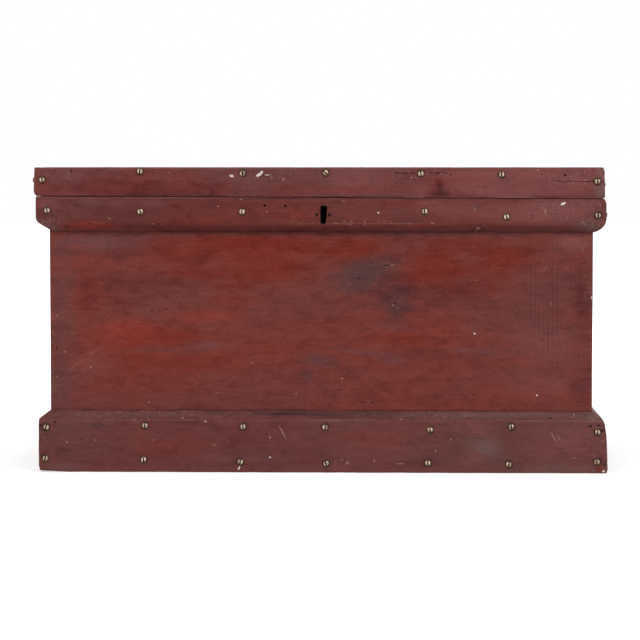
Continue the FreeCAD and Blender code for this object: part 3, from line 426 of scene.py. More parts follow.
def knock_edges(piece: Piece, wanted: Place, depth: float, wave: float) -> None:
    """Wears chosen points of a piece away unevenly, as knocks do to an arris.

    Args:
        piece: The piece to work on.
        wanted: A test of a point of the mesh.
        depth: The deepest wear in millimetres.
        wave: The width of a knock in millimetres.
    """
    group = piece.vertex_groups.new(name="arris")
    group.add([vertex.index for vertex in piece.data.vertices if wanted(vertex.co)], 1.0, "REPLACE")
    waver(piece, -depth, wave, 2, 0.42, group.name)
    piece.vertex_groups.remove(piece.vertex_groups["arris"])


def round_cutter(centre: Sequence[float], radius: float, depth: float, point: float = 0.55) -> Piece:
    """A round punch along Y from its centre.

    Args:
        centre: The middle of its mouth in millimetres.
        radius: Its radius in millimetres.
        depth: How deep it goes, in millimetres.
        point: The width of its end as a share of the mouth.

    Returns:
        The cutter.
    """
    lay_down_tools()
    bpy.ops.mesh.primitive_cylinder_add(
        vertices=14, radius=radius * MM, depth=depth * 2 * MM, location=metres(centre),
        rotation=(math.pi / 2, 0, 0),
    )
    punch = settle(bpy.context.object)
    deep = (centre[1] + depth * 0.98) * MM
    mark_faces(punch, lambda face: face.center.y > deep)
    bpy.ops.transform.resize(value=(point, 1, point))
    lay_down_tools()
    return punch


def crack_cutter(tip: Sequence[float], mouth: Sequence[float], width: float, cuts: int = 12) -> Piece:
    """A thin wedge that opens a crack in a face that looks to the front.

    Args:
        tip: Where the crack runs out, in millimetres.
        mouth: Where it is widest.
        width: Its width there.
        cuts: How many bends it can take.

    Returns:
        The cutter.
    """
    low = (tip[0], tip[1] - OVERCUT, tip[2] - width / 2)
    wedge = saw_block("crack", low, (mouth[0], tip[1] + 5.0, tip[2] + width / 2))
    rule_lines(wedge, Axis.X, cuts, 10.0)
    for number in range(cuts + 2):
        share = number / (cuts + 1)
        here = (tip[0] + (mouth[0] - tip[0]) * share) * MM
        mark(wedge, Part.POINT, lambda vertex, here=here: abs(vertex.co.x - here) < SAME)
        wide = 0.08 + 0.92 * share ** 0.7
        shift = (mouth[2] - tip[2]) * share + 0.5 * math.sin(number * 1.9)
        bpy.ops.transform.resize(value=(1, 1, wide), center_override=(here, tip[1] * MM, tip[2] * MM))
        bpy.ops.transform.translate(value=(0, 0, shift * MM))
        lay_down_tools()
    return wedge


def gouge(centre: Sequence[float], reach: Sequence[float], lean: float, seed: int) -> Piece:
    """A lump that leaves a chip or dent where it is cut out.

    Args:
        centre: Its middle in millimetres.
        reach: Its half sizes in millimetres.
        lean: Its turn about Y in degrees.
        seed: Picks its uneven outline.

    Returns:
        The cutter.
    """
    lay_down_tools()
    bpy.ops.mesh.primitive_ico_sphere_add(
        subdivisions=2, radius=1, location=metres(centre), rotation=(0, math.radians(lean), 0),
        scale=metres(reach),
    )
    lump = settle(bpy.context.object)
    take_whole(lump)
    bpy.ops.transform.vertex_random(offset=min(reach) * 0.22 * MM, seed=seed)
    lay_down_tools()
    return lump


# Finishes


@dataclass(frozen=True)
class Spot:
    """An oval place on the trunk, in millimetres, leaning about Y by degrees."""

    centre: Triple
    reach: Triple
    lean: float = 0.0


@dataclass(frozen=True)
class Patch:
    """A place where the paint has another tone."""

    spot: Spot
    tone: Tone
    strength: float = 0.7


# Where the front's patches and marks have their middle along Y, and how far they reach from it.
PATCH_Y, PATCH_DEPTH = -190.0, 60.0
MARK_Y, MARK_DEPTH = -192.0, 30.0


def patches_at(*rows: Sequence[float | Tone]) -> tuple[Patch, ...]:
    """Patches seen from the front, a row each: x, z, half sizes, tone, strength and lean."""
    return tuple(
        Patch(Spot((x, PATCH_Y, z), (width, PATCH_DEPTH, height), *lean), tone, strength)
        for x, z, width, height, tone, strength, *lean in rows
    )


def marks_at(*rows: Sequence[float]) -> tuple[Spot, ...]:
    """Small marks seen from the front, a row each: x, z, half sizes and lean."""
    return tuple(
        Spot((x, MARK_Y, z), (width, MARK_DEPTH, height), *lean) for x, z, width, height, *lean in rows
    )


def spots_in(*rows: Sequence[float]) -> tuple[Spot, ...]:
    """Spots anywhere on the trunk, a row each: x, y, z, half sizes and lean."""
    return tuple(Spot(row[:3], row[3:6], *row[6:]) for row in rows)


def patches_in(*rows: Sequence[float | Tone]) -> tuple[Patch, ...]:
    """Patches anywhere on the trunk, a row each: x, y, z, half sizes, tone and strength."""
    return tuple(Patch(Spot(row[:3], row[3:6]), *row[6:]) for row in rows)


def row_of_marks(
    first: tuple[float, float], last: tuple[float, float], count: int, reach: tuple[float, float], seed: int
) -> tuple[Spot, ...]:
    """Small marks strewn unevenly along a line.

    Args:
        first: Where the line starts, seen from the front.
        last: Where it ends.
        count: How many marks lie on it.
        reach: The half sizes of a mark of middling size.
        seed: Picks the marks' places and sizes.

    Returns:
        The marks.
    """
    chance = random.Random(seed)
    rows = []
    for number in range(count):
        share = (number + chance.uniform(0.1, 0.9)) / count
        size = chance.uniform(0.6, 1.4)
        x, z = (start + (end - start) * share for start, end in zip(first, last))
        rows.append((x, z + chance.uniform(-1.2, 1.2), reach[0] * size, reach[1] * size))
    return marks_at(*rows)


def add_node(
    tree: bpy.types.NodeTree, kind: str, inputs: Inputs | None = None, **settings: object
) -> bpy.types.Node:
    """Adds a shader node to a tree.

    Args:
        tree: The tree that it joins.
        kind: Its kind.
        inputs: What goes into its sockets: another node's output, or a plain value.
        settings: Its other settings.

    Returns:
        The node.
    """
    node = tree.nodes.new(f"ShaderNode{kind}")
    for name, value in settings.items():
        setattr(node, name, value)
    for name, source in (inputs or {}).items():
        if isinstance(source, Socket):
            tree.links.new(source, node.inputs[name])
        else:
            node.inputs[name].default_value = source
    return node


class Sheet:
    """A material's node sheet, filled in from the top down."""

    def __init__(self, name: str) -> None:
        """Starts a sheet that reads a piece's own place."""
        self.material = bpy.data.materials.new(name)
        self.material.use_nodes = True
        self.tree = self.material.node_tree
        self.tree.nodes.clear()
        self.shader: dict[str, object] = {}
        self.place = self.node("TexCoord").outputs["Object"]

    def node(self, kind: str, inputs: Inputs | None = None, **settings: object) -> bpy.types.Node:
        """Adds a node to the sheet."""
        return add_node(self.tree, kind, inputs, **settings)

    def reckon(self, action: str, first: object, second: object = 0.0) -> Socket:
        """What comes of two numbers."""
        return self.node("Math", {0: first, 1: second}, operation=action).outputs[0]

    def plus(self, first: object, second: object) -> Socket:
        """The sum of two numbers."""
        return self.reckon("ADD", first, second)

    def less(self, first: object, second: object) -> Socket:
        """The first number less the second."""
        return self.reckon("SUBTRACT", first, second)

    def times(self, first: object, second: object) -> Socket:
        """The product of two numbers."""
        return self.reckon("MULTIPLY", first, second)

    def steer(self, action: str, first: object, second: Triple) -> Socket:
        """What comes of two directions."""
        return self.node("VectorMath", {0: first, 1: second}, operation=action).outputs["Vector"]

    def stretch(self, source: object, scale: Triple, offset: Triple = (0.0, 0.0, 0.0)) -> Socket:
        """The place, drawn out along the axes."""
        inputs = {"Vector": source, "Scale": scale, "Location": offset}
        return self.node("Mapping", inputs, vector_type="POINT").outputs[0]

    def closeness(self, source: object, spot: Spot) -> Socket:
        """How near a point is to a spot's middle.

        Args:
            source: The point's place.
            spot: The spot.

        Returns:
            1 at its middle, falling to 0 at SPREAD times its reach.
        """
        inputs = {
            "Vector": source, "Location": metres(spot.centre),
            "Rotation": (0.0, math.radians(spot.lean), 0.0),
            "Scale": [part * SPREAD * MM for part in spot.reach],
        }
        turned = self.node("Mapping", inputs, vector_type="TEXTURE").outputs[0]
        return self.node("TexGradient", {"Vector": turned}, gradient_type="SPHERICAL").outputs["Fac"]

    def nearest(self, source: object, *spots: Spot) -> Socket:
        """How far a point is from the nearest of some spots.

        Args:
            source: The point's place.
            spots: The spots.

        Returns:
            0 at a spot's middle and 1 at its rim.
        """
        found = self.closeness(source, spots[0])
        for spot in spots[1:]:
            found = self.reckon("MAXIMUM", found, self.closeness(source, spot))
        return self.times(self.less(1.0, found), SPREAD)

    def noise(
        self, source: object, scale: float, detail: float = 3.0, rough: float = 0.55, swirl: float = 0.0
    ) -> Socket:
        """Soft uneven clouds from 0 to 1."""
        inputs = {"Vector": source, "Scale": scale, "Detail": detail, "Roughness": rough, "Distortion": swirl}
        return self.node("TexNoise", inputs).outputs["Fac"]

    def drift(self, source: object, scale: float, reach: Triple) -> Socket:
        """The place, pushed about by soft noise so that edges come out ragged.

        Args:
            source: The place.
            scale: How close the noise's clouds stand.
            reach: How far it pushes along each axis, in millimetres.

        Returns:
            The new place.
        """
        noise = self.node("TexNoise", {"Vector": source, "Scale": scale, "Detail": 3.0}).outputs["Color"]
        centred = self.steer("SUBTRACT", noise, (0.5, 0.5, 0.5))
        return self.steer("ADD", source, self.steer("MULTIPLY", centred, metres(reach)))

    def fade(
        self, source: object, start: float, end: float, low: float = 0.0, high: float = 1.0
    ) -> Socket:
        """A smooth step from low at start to high at end."""
        inputs = {"Value": source, "From Min": start, "From Max": end, "To Min": low, "To Max": high}
        return self.node("MapRange", inputs, interpolation_type="SMOOTHSTEP").outputs[0]

    def blend(self, share: object, under: object, over: object, how: str = "MIX") -> Socket:
        """Lays one colour over another by a share."""
        inputs = {0: share, 6: under, 7: over}
        return self.node("Mix", inputs, data_type="RGBA", blend_type=how, clamp_factor=True).outputs[2]

    def steps(self, source: object, *stops: Stop) -> Socket:
        """Colours picked along a scale from 0 to 1."""
        node = self.node("ValToRGB", {0: source})
        ramp = node.color_ramp
        while len(ramp.elements) < len(stops):
            ramp.elements.new(0.5)
        for element, (spot, colour) in zip(ramp.elements, stops):
            element.position = spot
            element.color = linear(colour)
        return node.outputs[0]

    def veil(self, share: float, under: object, source: object, stops: Sequence[Stop]) -> Socket:
        """Darkens a colour by a share where a pattern picks a dark step."""
        return self.blend(share, under, self.steps(source, *stops), "MULTIPLY")

    def tint(self, share: object, under: object, tone: Triple) -> Socket:
        """Lays a plain colour, written as 0 to 255, over another by a share."""
        return self.blend(share, under, linear(tone))

    def relief(self, height: object, strength: float, depth: float) -> None:
        """Raises the surface by a height, depth in millimetres."""
        inputs = {"Strength": strength, "Distance": depth * MM, "Height": height}
        self.shader["Normal"] = self.node("Bump", inputs).outputs[0]

    def coat(self, colour: object, rough: object, metal: float = 0.0, specular: float = 0.5) -> None:
        """Sets the colour, roughness, metal and specular level."""
        self.shader.update({
            "Base Color": colour, "Roughness": rough, "Metallic": metal, "Specular IOR Level": specular,
        })

    def close(self) -> None:
        """Adds the shader and its output under all that is on the sheet."""
        shader = self.node("BsdfPrincipled", self.shader)
        self.node("OutputMaterial", {0: shader.outputs[0]})


class Finish:
    """A finish that is mixed once and then used on every piece that asks for it."""

    name: str
    shelf: dict[str, bpy.types.Material] = {}

    def mix(self, sheet: Sheet) -> None:
        """Fills in the finish's sheet."""
        raise NotImplementedError

    def material(self) -> bpy.types.Material:
        """The finish's material, mixed at its first use."""
        if self.name not in Finish.shelf:
            sheet = Sheet(self.name)
            self.mix(sheet)
            sheet.close()
            Finish.shelf[self.name] = sheet.material
        return Finish.shelf[self.name]


@dataclass(frozen=True)
class OldPaint(Finish):
    """Iron red paint on planed pine, rubbed, smoked and chipped with age."""

    name: str
    grain: Axis = Axis.X
    ground: Triple = (118, 55, 49)
    dull: Triple = (106, 58, 56)
    bright: Triple = (128, 48, 38)
    cloud_offset: Triple = (0.0, 0.0, 0.0)
    bright_share: float = 0.35
    patches: tuple[Patch, ...] = ()
    # Dirt, and painted shade along seams, in creases and under rails.
    grime_and_crease_shade: tuple[Spot, ...] = ()
    pits: tuple[Spot, ...] = ()
    chips: tuple[Spot, ...] = ()
    scratches: tuple[Spot, ...] = ()
    # Worn arrises; where one lies on a rounded shoulder, its lightening is also a painted highlight.
    arrises: tuple[Spot, ...] = ()
    arris_wear_and_highlight: float = 0.6
    ribs: tuple[Spot, ...] = ()
    rib_depth: float = 0.3
    rib_pitch: float = 5.75
    fleck_share: float = 0.3
    # Dark rings round screws and holes: dirt, and painted shade where a head or hole meets the paint.
    dirt_and_shade_rings: tuple[Spot, ...] = ()
    specks: tuple[Spot, ...] = ()
    flaked: tuple[Spot, ...] = ()
    flake_share: float = 0.6
    dusting: float = 0.68

    def clouds(
        self, sheet: Sheet, source: object, run: float, cross: float, detail: float, rough: float,
        swirl: float = 0.0, scale: float = 1.0,
    ) -> Socket:
        """Clouds of paint that are drawn out along the grain.

        Args:
            sheet: The finish's sheet.
            source: The place that they follow.
            run: How close they stand along the grain.
            cross: How close they stand across it.
            detail: How many finer clouds lie in them.
            rough: How strong the finer ones are.
            swirl: How far they curl.
            scale: Draws the whole pattern together.

        Returns:
            The clouds, from 0 to 1.
        """
        drawn = sheet.stretch(source, self.grain.drawn(run, cross), self.cloud_offset)
        return sheet.noise(drawn, scale, detail, rough, swirl)

    def mix(self, sheet: Sheet) -> None:
        """Lays the coats: ground, clouds, patches, streaks, dirt with painted shade in creases, wear with
        painted highlights on shoulders, dirt and painted shade round screws, and marks.
        """
        ragged = sheet.drift(sheet.place, 18.0, self.grain.drawn(30.0, 8.0))
        streak = self.clouds(sheet, sheet.place, 6.0, 80.0, 5.0, 0.62)
        brush = self.clouds(sheet, sheet.place, 24.0, 420.0, 4.0, 0.6)
        mottle = self.clouds(sheet, sheet.place, 42.0, 88.0, 6.0, 0.66, 0.6)
        cloud = self.clouds(sheet, ragged, 3.4, 9.0, 4.0, 0.6, 0.4)
        second = self.clouds(sheet, ragged, 7.0, 18.0, 4.0, 0.6, 0.3, 1.3)
        fleck = self.clouds(sheet, sheet.place, 210.0, 330.0, 2.0, 0.5)
        speckle = sheet.noise(sheet.place, 760.0, 3.0, 0.75)

        colour = sheet.blend(sheet.fade(cloud, 0.38, 0.62), linear(self.dull), linear(self.ground))
        colour = sheet.tint(sheet.fade(second, 0.48, 0.72, 0.0, self.bright_share), colour, self.bright)
        broken = sheet.plus(sheet.times(streak, 0.9), sheet.times(mottle, 1.0))
        for patch in self.patches:
            near = sheet.plus(sheet.nearest(ragged, patch.spot), broken)
            colour = sheet.tint(sheet.fade(near, 2.2, 1.1, 0.0, patch.strength), colour, patch.tone.value)

        for pattern, share, stops in (
            (streak, 0.36, ((0.3, (205, 199, 200)), (0.5, (236, 233, 233)), (0.7, (255, 253, 252)))),
            (mottle, 0.6, ((0.34, (196, 186, 188)), (0.5, (238, 236, 236)), (0.66, (255, 255, 255)))),
            (brush, 0.2, ((0.32, (160, 152, 155)), (0.46, (240, 238, 238)), (0.6, (255, 255, 255)))),
            (
                speckle, self.dusting,
                ((0.32, (180, 172, 175)), (0.5, (236, 236, 236)), (0.68, (255, 255, 255))),
            ),
        ):
            colour = sheet.veil(share, colour, pattern, stops)
        colour = sheet.tint(sheet.fade(fleck, 0.72, 0.8, 0.0, self.fleck_share), colour, (150, 100, 92))
        colour = sheet.tint(sheet.fade(fleck, 0.3, 0.23, 0.0, 0.6), colour, (60, 28, 27))

        height = sheet.times(streak, 0.4)
        for pattern, share in ((mottle, 0.5), (brush, 0.3), (speckle, 0.2)):
            height = sheet.plus(height, sheet.times(pattern, share))
        if self.ribs:
            scale = math.pi / 10.0 / (self.rib_pitch * MM)
            wave = sheet.node(
                "TexWave", {"Vector": sheet.place, "Scale": scale, "Distortion": 0.0},
                wave_type="BANDS", bands_direction="X", wave_profile="SIN",
            )
            patchy = sheet.noise(sheet.stretch(sheet.place, (46.0, 20.0, 16.0)), 1.0, 3.0, 0.6)
            inside = sheet.fade(sheet.nearest(ragged, *self.ribs), 1.25, 0.3)
            inside = sheet.times(inside, sheet.fade(patchy, 0.36, 0.62))
            ridge = sheet.times(sheet.fade(wave.outputs["Fac"], 0.2, 0.85), inside)
            colour = sheet.tint(sheet.times(ridge, self.rib_depth), colour, Tone.SOOT.value)
            height = sheet.less(height, sheet.times(ridge, 0.6))
        # Darkens towards near black at these spots: dirt, and painted shade where the paint runs into a seam
        # or crease or under a rail.
        if self.grime_and_crease_shade:
            near = sheet.plus(sheet.nearest(ragged, *self.grime_and_crease_shade), sheet.times(mottle, 0.6))
            colour = sheet.tint(sheet.fade(near, 1.35, 0.4, 0.0, 0.6), colour, (46, 24, 24))
        if self.flaked:
            inside = sheet.fade(sheet.nearest(ragged, *self.flaked), 1.3, 0.4)
            crumbs = sheet.noise(sheet.stretch(sheet.place, (240.0, 240.0, 180.0)), 1.0, 5.0, 0.8, 0.6)
            pale = sheet.times(inside, sheet.fade(crumbs, 0.53, 0.72, 0.0, self.flake_share))
            deep = sheet.times(inside, sheet.fade(crumbs, 0.47, 0.3, 0.0, self.flake_share))
            colour = sheet.tint(pale, colour, (160, 126, 122))
            colour = sheet.tint(deep, colour, (52, 28, 28))
            height = sheet.plus(height, sheet.less(pale, deep))
        # Lightens the arrises to rubbed paint: wear, and on rounded shoulders a painted highlight.
        if self.arrises:
            near = sheet.plus(sheet.nearest(sheet.place, *self.arrises), sheet.times(second, 1.5))
            near = sheet.plus(near, sheet.times(mottle, 1.3))
            bare = sheet.steps(brush, (0.35, (106, 72, 66)), (0.6, (150, 116, 106)))
            colour = sheet.blend(sheet.fade(near, 2.0, 1.35, 0.0, self.arris_wear_and_highlight), colour, bare)
        # Dark rings round screws and holes: dirt, and painted shade where a head or hole meets the paint.
        if self.dirt_and_shade_rings:
            near = sheet.plus(sheet.nearest(sheet.place, *self.dirt_and_shade_rings), sheet.times(mottle, 1.1))
            colour = sheet.tint(sheet.fade(near, 1.75, 1.2, 0.0, 0.75), colour, (38, 20, 19))
        if self.scratches:
            torn = sheet.drift(sheet.place, 150.0, (1.2, 1.2, 1.2))
            cut = sheet.fade(sheet.nearest(torn, *self.scratches), 1.0, 0.3)
            cut = sheet.times(cut, sheet.fade(mottle, 0.38, 0.6, 0.08, 0.42))
            colour = sheet.tint(cut, colour, (168, 104, 90))
            height = sheet.less(height, sheet.times(cut, 0.6))
        if self.pits:
            torn = sheet.drift(sheet.place, 300.0, (1.0, 1.0, 1.0))
            dark = sheet.fade(sheet.nearest(torn, *self.pits), 1.1, 0.6, 0.0, 0.85)
            colour = sheet.tint(dark, colour, (30, 15, 14))
            height = sheet.less(height, sheet.times(dark, 1.4))
        if self.specks:
            torn = sheet.drift(sheet.place, 420.0, (1.8, 1.8, 1.8))
            pale = sheet.fade(sheet.nearest(torn, *self.specks), 1.1, 0.5, 0.0, 0.55)
            colour = sheet.tint(pale, colour, (176, 136, 124))
        if self.chips:
            torn = sheet.drift(sheet.place, 420.0, (2.2, 2.2, 2.2))
            white = sheet.fade(sheet.nearest(torn, *self.chips), 1.05, 0.75)
            bare = sheet.steps(speckle, (0.35, (190, 170, 162)), (0.6, (230, 220, 214)))
            colour = sheet.blend(white, colour, bare)
            height = sheet.less(height, sheet.times(white, 0.5))
        sheet.coat(colour, sheet.fade(mottle, 0.3, 0.7, 0.62, 0.46), specular=0.1)
        sheet.relief(height, 0.5, 0.4)


@dataclass(frozen=True)
class BarePine(Finish):
    """Unpainted pine, browned and a little stained."""

    name: str
    grain: Axis = Axis.X
    light: Triple = (186, 150, 108)
    dark: Triple = (134, 92, 58)
    stain: Triple = (92, 66, 48)
    offset: Triple = (0.0, 0.0, 0.0)

    def mix(self, sheet: Sheet) -> None:
        """Draws year rings, pores, knots and stains."""
        ragged = sheet.drift(sheet.place, 7.0, (12.0, 12.0, 12.0))
        spread = sheet.stretch(ragged, self.grain.drawn(3.6, 8.5), self.offset)
        knots = sheet.node("TexVoronoi", {"Vector": spread, "Scale": 1.0, "Randomness": 1.0})
        knot = knots.outputs["Distance"]
        bent = sheet.times(sheet.fade(knot, 0.4, 0.0), 0.5)
        rings = sheet.noise(sheet.stretch(ragged, self.grain.drawn(1.6, 26.0), self.offset), 1.0, 2.0, 0.5)
        wave = sheet.fade(sheet.reckon("SINE", sheet.times(sheet.plus(rings, bent), 34.0)), -0.4, 1.0)
        fine = sheet.stretch(sheet.place, self.grain.drawn(20.0, 900.0), self.offset)
        pores = sheet.noise(fine, 1.0, 3.0, 0.6)
        stains = sheet.noise(sheet.stretch(ragged, self.grain.drawn(4.0, 8.0), self.offset), 1.0, 4.0, 0.6)
        colour = sheet.blend(sheet.times(wave, 0.5), linear(self.light), linear(self.dark))
        stops = ((0.3, (150, 136, 124)), (0.5, (235, 232, 228)), (0.7, (255, 255, 255)))
        colour = sheet.veil(0.55, colour, pores, stops)
        colour = sheet.tint(sheet.fade(stains, 0.5, 0.75, 0.0, 0.55), colour, self.stain)
        eye = sheet.fade(knot, 0.11, 0.05)
        colour = sheet.tint(sheet.times(eye, 0.85), colour, (74, 42, 26))
        sheet.coat(colour, sheet.fade(pores, 0.3, 0.7, 0.78, 0.6), specular=0.3)
        sheet.relief(sheet.plus(sheet.times(wave, 0.25), sheet.times(pores, 0.6)), 0.5, 0.35)


@dataclass(frozen=True)
class RawHole(Finish):
    """The dark wood inside an old hole or mortise, partly dirt and partly painted shade of the hole."""

    name: str = "raw_wood_and_shade_in_holes"

    def mix(self, sheet: Sheet) -> None:
        """Mottles dark dusty wood."""
        fibre = sheet.noise(sheet.place, 700.0, 3.0, 0.6)
        colour = sheet.steps(fibre, (0.3, (26, 15, 12)), (0.6, (52, 33, 25)), (0.8, (74, 50, 36)))
        sheet.coat(colour, 0.85, specular=0.15)
        sheet.relief(fibre, 0.4, 0.3)


@dataclass(frozen=True)
class OldMetal(Finish):
    """Handled metal: bright where it is rubbed, dark where dirt has settled."""

    name: str
    rubbed: Triple
    tarnish: Triple
    dirt: Triple
    rubbed_rough: float = 0.34
    dirt_rough: float = 0.62
    dirt_share: float = 0.5
    metal: float = 1.0
    soot_and_keyhole_shade: tuple[Spot, ...] = ()

    def mix(self, sheet: Sheet) -> None:
        """Lays tarnish and dirt over the metal, with fine wipe marks, and a near black of sooty dirt and
        painted shade behind the keyhole.
        """
        tarnish = sheet.noise(sheet.place, 140.0, 4.0, 0.6, 0.3)
        dirt = sheet.noise(sheet.place, 420.0, 4.0, 0.65)
        wipes = sheet.noise(sheet.stretch(sheet.place, (260.0, 2600.0, 2600.0)), 1.0, 2.0, 0.5)
        colour = sheet.blend(sheet.fade(tarnish, 0.4, 0.62), linear(self.rubbed), linear(self.tarnish))
        colour = sheet.tint(sheet.fade(dirt, 0.52, 0.7, 0.0, self.dirt_share), colour, self.dirt)
        # Near black behind the keyhole: sooty dirt, and painted shade of the lock's inside.
        if self.soot_and_keyhole_shade:
            near = sheet.plus(sheet.nearest(sheet.place, *self.soot_and_keyhole_shade), sheet.times(tarnish, 0.4))
            colour = sheet.tint(sheet.fade(near, 1.5, 1.1), colour, (9, 7, 6))
        rough = sheet.fade(dirt, 0.4, 0.7, self.rubbed_rough, self.dirt_rough)
        rough = sheet.plus(rough, sheet.times(wipes, 0.08))
        sheet.coat(colour, rough, self.metal)
        sheet.relief(sheet.plus(sheet.times(dirt, 0.5), sheet.times(wipes, 0.2)), 0.35, 0.12)


# Sooty dirt and painted shade on the lock behind the keyhole.
KEYHOLE_SOOT_AND_SHADE = (Spot((4.3, -174.0, 336.0), (13.0, 30.0, 22.0)),)
BRASS_HEAD = OldMetal(
    "old_brass_screw_heads", (194, 170, 148), (140, 116, 96), (62, 44, 36), 0.42, 0.66, 0.85,
)
# A darker brass on the dome's outer edge: dirt, and painted shade where the dome turns from the light.
BRASS_RIM_DIRT_AND_SHADE = OldMetal(
    "screw_head_rims_dirt_and_shade", (96, 76, 54), (54, 38, 30), (28, 18, 16), 0.55, 0.75, 0.7, 0.6,
)
# Near black in the screw slots: dirt, and painted shade in the recess.
BRASS_SLOT = OldMetal("screw_slots_dirt_and_shade", (30, 20, 16), (20, 13, 11), (12, 8, 7), 0.8, 0.9, 0.8, 0.0)
LOCK_DARK = OldMetal(
    "smoked_lock_case", (70, 58, 44), (40, 32, 26), (20, 15, 13), 0.5, 0.75, 0.7, 0.7, KEYHOLE_SOOT_AND_SHADE,
)
BRASS_PLATE = OldMetal(
    "old_brass_plate", (162, 136, 92), (114, 92, 62), (56, 46, 34), 0.34, 0.6, 0.55, soot_and_keyhole_shade=KEYHOLE_SOOT_AND_SHADE,
)
BRASS_HINGE = OldMetal("old_brass_hinges", (150, 122, 80), (100, 80, 54), (48, 38, 29), 0.36, 0.62, 0.6)
WORN_STEEL = OldMetal(
    "worn_lock_steel", (150, 146, 140), (104, 98, 92), (66, 44, 30), 0.3, 0.6, 0.5, soot_and_keyhole_shade=KEYHOLE_SOOT_AND_SHADE,
)
FORGED_IRON = OldMetal("forged_iron_nails", (78, 70, 64), (58, 46, 40), (84, 46, 28), 0.5, 0.8, 0.6, 0.7)
RAW_HOLE = RawHole()


# Finishing a piece


def dress(piece: Piece, *finishes: Finish) -> None:
    """Puts finishes into a piece's material slots, in order."""
    indices = [0] * len(piece.data.polygons)
    piece.data.polygons.foreach_get("material_index", indices)
    piece.data.materials.clear()
    for finish in finishes:
        piece.data.materials.append(finish.material())
    top = len(finishes) - 1
    piece.data.polygons.foreach_set("material_index", [min(index, top) for index in indices])


def paint_faces(piece: Piece, wanted: Face, slot: int) -> None:
    """Gives chosen faces another of the piece's finishes, but not the raw holes."""
    for face in piece.data.polygons:
        if face.material_index != RAW and wanted(face):
            face.material_index = slot


def hand_over(piece: Piece, body: str, node: str, angle: float = 34.0) -> None:
    """Closes a piece's seams, smooths it and ties it to the frame.

    Args:
        piece: The finished piece.
        body: The body that it rides on.
        node: The node that it stands for.
        angle: Edges sharper than this stay crisp, in degrees.
    """
    close_seams(piece)
    take(piece)
    bpy.ops.object.shade_smooth_by_angle(angle=math.radians(angle))
    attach(piece, body)
    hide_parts(node)
    LOG.info("%s: %d faces, rides on %s", piece.name, len(piece.data.polygons), body)


# Screws


@dataclass(frozen=True)
class ScrewSpot:
    """Where a screw stands on a rail: along it, up it and the turn of its slot."""

    run: float
    up: float
    turn: float


def screws_at(*rows: Triple) -> tuple[ScrewSpot, ...]:
    """The places of screws, a row each: along the rail, up it and the turn of the slot."""
    return tuple(ScrewSpot(*row) for row in rows)


@dataclass
class RoundScrew:
    """A round head wood screw with a filed slot."""

    head: float = 4.8
    rise: float = 3.2
    shank: float = 2.3
    core: float = 1.45
    plain: float = 10.0
    taper: float = 3.0
    point: float = 5.0
    tip: float = 0.2
    length: float = 28.0
    slot_width: float = 1.75
    slot_depth: float = 2.1
    facets: int = 28
    steps: int = 7
    crown_share: float = 0.74

    def build(self) -> Piece:
        """Turns the head and shank from a disc and files the slot.

        Returns:
            The screw, its head's underside at the origin and its shank along +Y.
        """
        lay_down_tools()
        bpy.ops.mesh.primitive_circle_add(
            vertices=self.facets, radius=self.head * MM, fill_type="NOTHING", rotation=(math.pi / 2, 0, 0)
        )
        screw = settle(bpy.context.object)
        screw.name = "round_screw"
        bulge = (self.head**2 + self.rise**2) / (2 * self.rise)
        profile = [(0.0, self.head)]
        for step in range(1, self.steps + 1):
            up = self.rise * math.sin(step / self.steps * math.pi / 2)
            profile.append((-up, math.sqrt(max(bulge**2 - (bulge - self.rise + up) ** 2, 0.09))))
        mark_edges(screw, lambda first, second: True)
        self.turn(profile)
        lay_down_tools()
        mark_edges(screw, lambda first, second: max(abs(first.y), abs(second.y)) < 1e-6)
        self.turn((
            (0.0, self.head), (0.0, self.shank), (self.plain, self.shank),
            (self.plain + self.taper, self.core), (self.length - self.point, self.core),
            (self.length, self.tip),
        ))
        lay_down_tools()
        close_seams(screw, 1e-6)
        chalk(screw)
        # Faces past the crown, and the shank, take the second finish, whose darker brass paints the shade on
        # the dome's edge.
        crown = self.head * self.crown_share * MM
        for face in screw.data.polygons:
            out = math.hypot(face.center.x, face.center.z)
            face.material_index = 0 if out < crown and face.center.y < 0 else 1
        half, reach = self.slot_width / 2, self.head + OVERCUT
        low = (-half, -self.rise - OVERCUT, -reach)
        chisel(screw, [saw_block("file", low, (half, -self.rise + self.slot_depth, reach))])
        return screw

    def turn(self, profile: Sequence[tuple[float, float]]) -> None:
        """Draws the selected ring out along a profile and closes its end.

        Args:
            profile: Places along Y and radii in millimetres, the first one the ring's own.
        """
        for (here, wide), (there, narrow) in zip(profile, profile[1:]):
            pull_out((0.0, there - here, 0.0))
            share = narrow / wide
            bpy.ops.transform.resize(value=(share, 1, share), center_override=(0, there * MM, 0))
        bpy.ops.mesh.edge_face_add()


# Rails and boards


@dataclass(frozen=True)
class Nose:
    """The profile of a rail's sloped edge, in millimetres.

    The level is the height of its shoulder over the rail's foot, the fall is how far the
    slope drops or rises to the wall, and the radius rounds the shoulder.
    """

    level: float
    fall: float
    radius: float


@dataclass
class Keyhole:
    """The keyhole through the band and the front wall."""

    x: float = 3.7
    z: float = 335.8
    height: float = 23.6
    top_width: float = 9.3
    foot_width: float = 6.8
    lean: float = 1.4
    corner: float = 2.4

    def cutter(self, front: float, back: float) -> Piece:
        """A cutter in the keyhole's shape.

        Args:
            front: Where it starts along Y, in millimetres.
            back: Where it ends.

        Returns:
            The cutter.
        """
        half, side = self.height / 2, self.foot_width / 2
        low, high = (self.x - side, front, self.z - half), (self.x + side, back, self.z + half)
        core = saw_block("keyhole", low, high)
        top = (self.z + half - 0.01) * MM
        mark_faces(core, lambda face: face.center.z > top)
        bpy.ops.transform.resize(value=(self.top_width / self.foot_width, 1, 1))
        bpy.ops.transform.translate(value=(self.lean / 2 * MM, 0, 0))
        lay_down_tools()
        ease_edges(core, lambda first, second: along(first, second, Axis.Y, ANY), self.corner, 4)
        return core


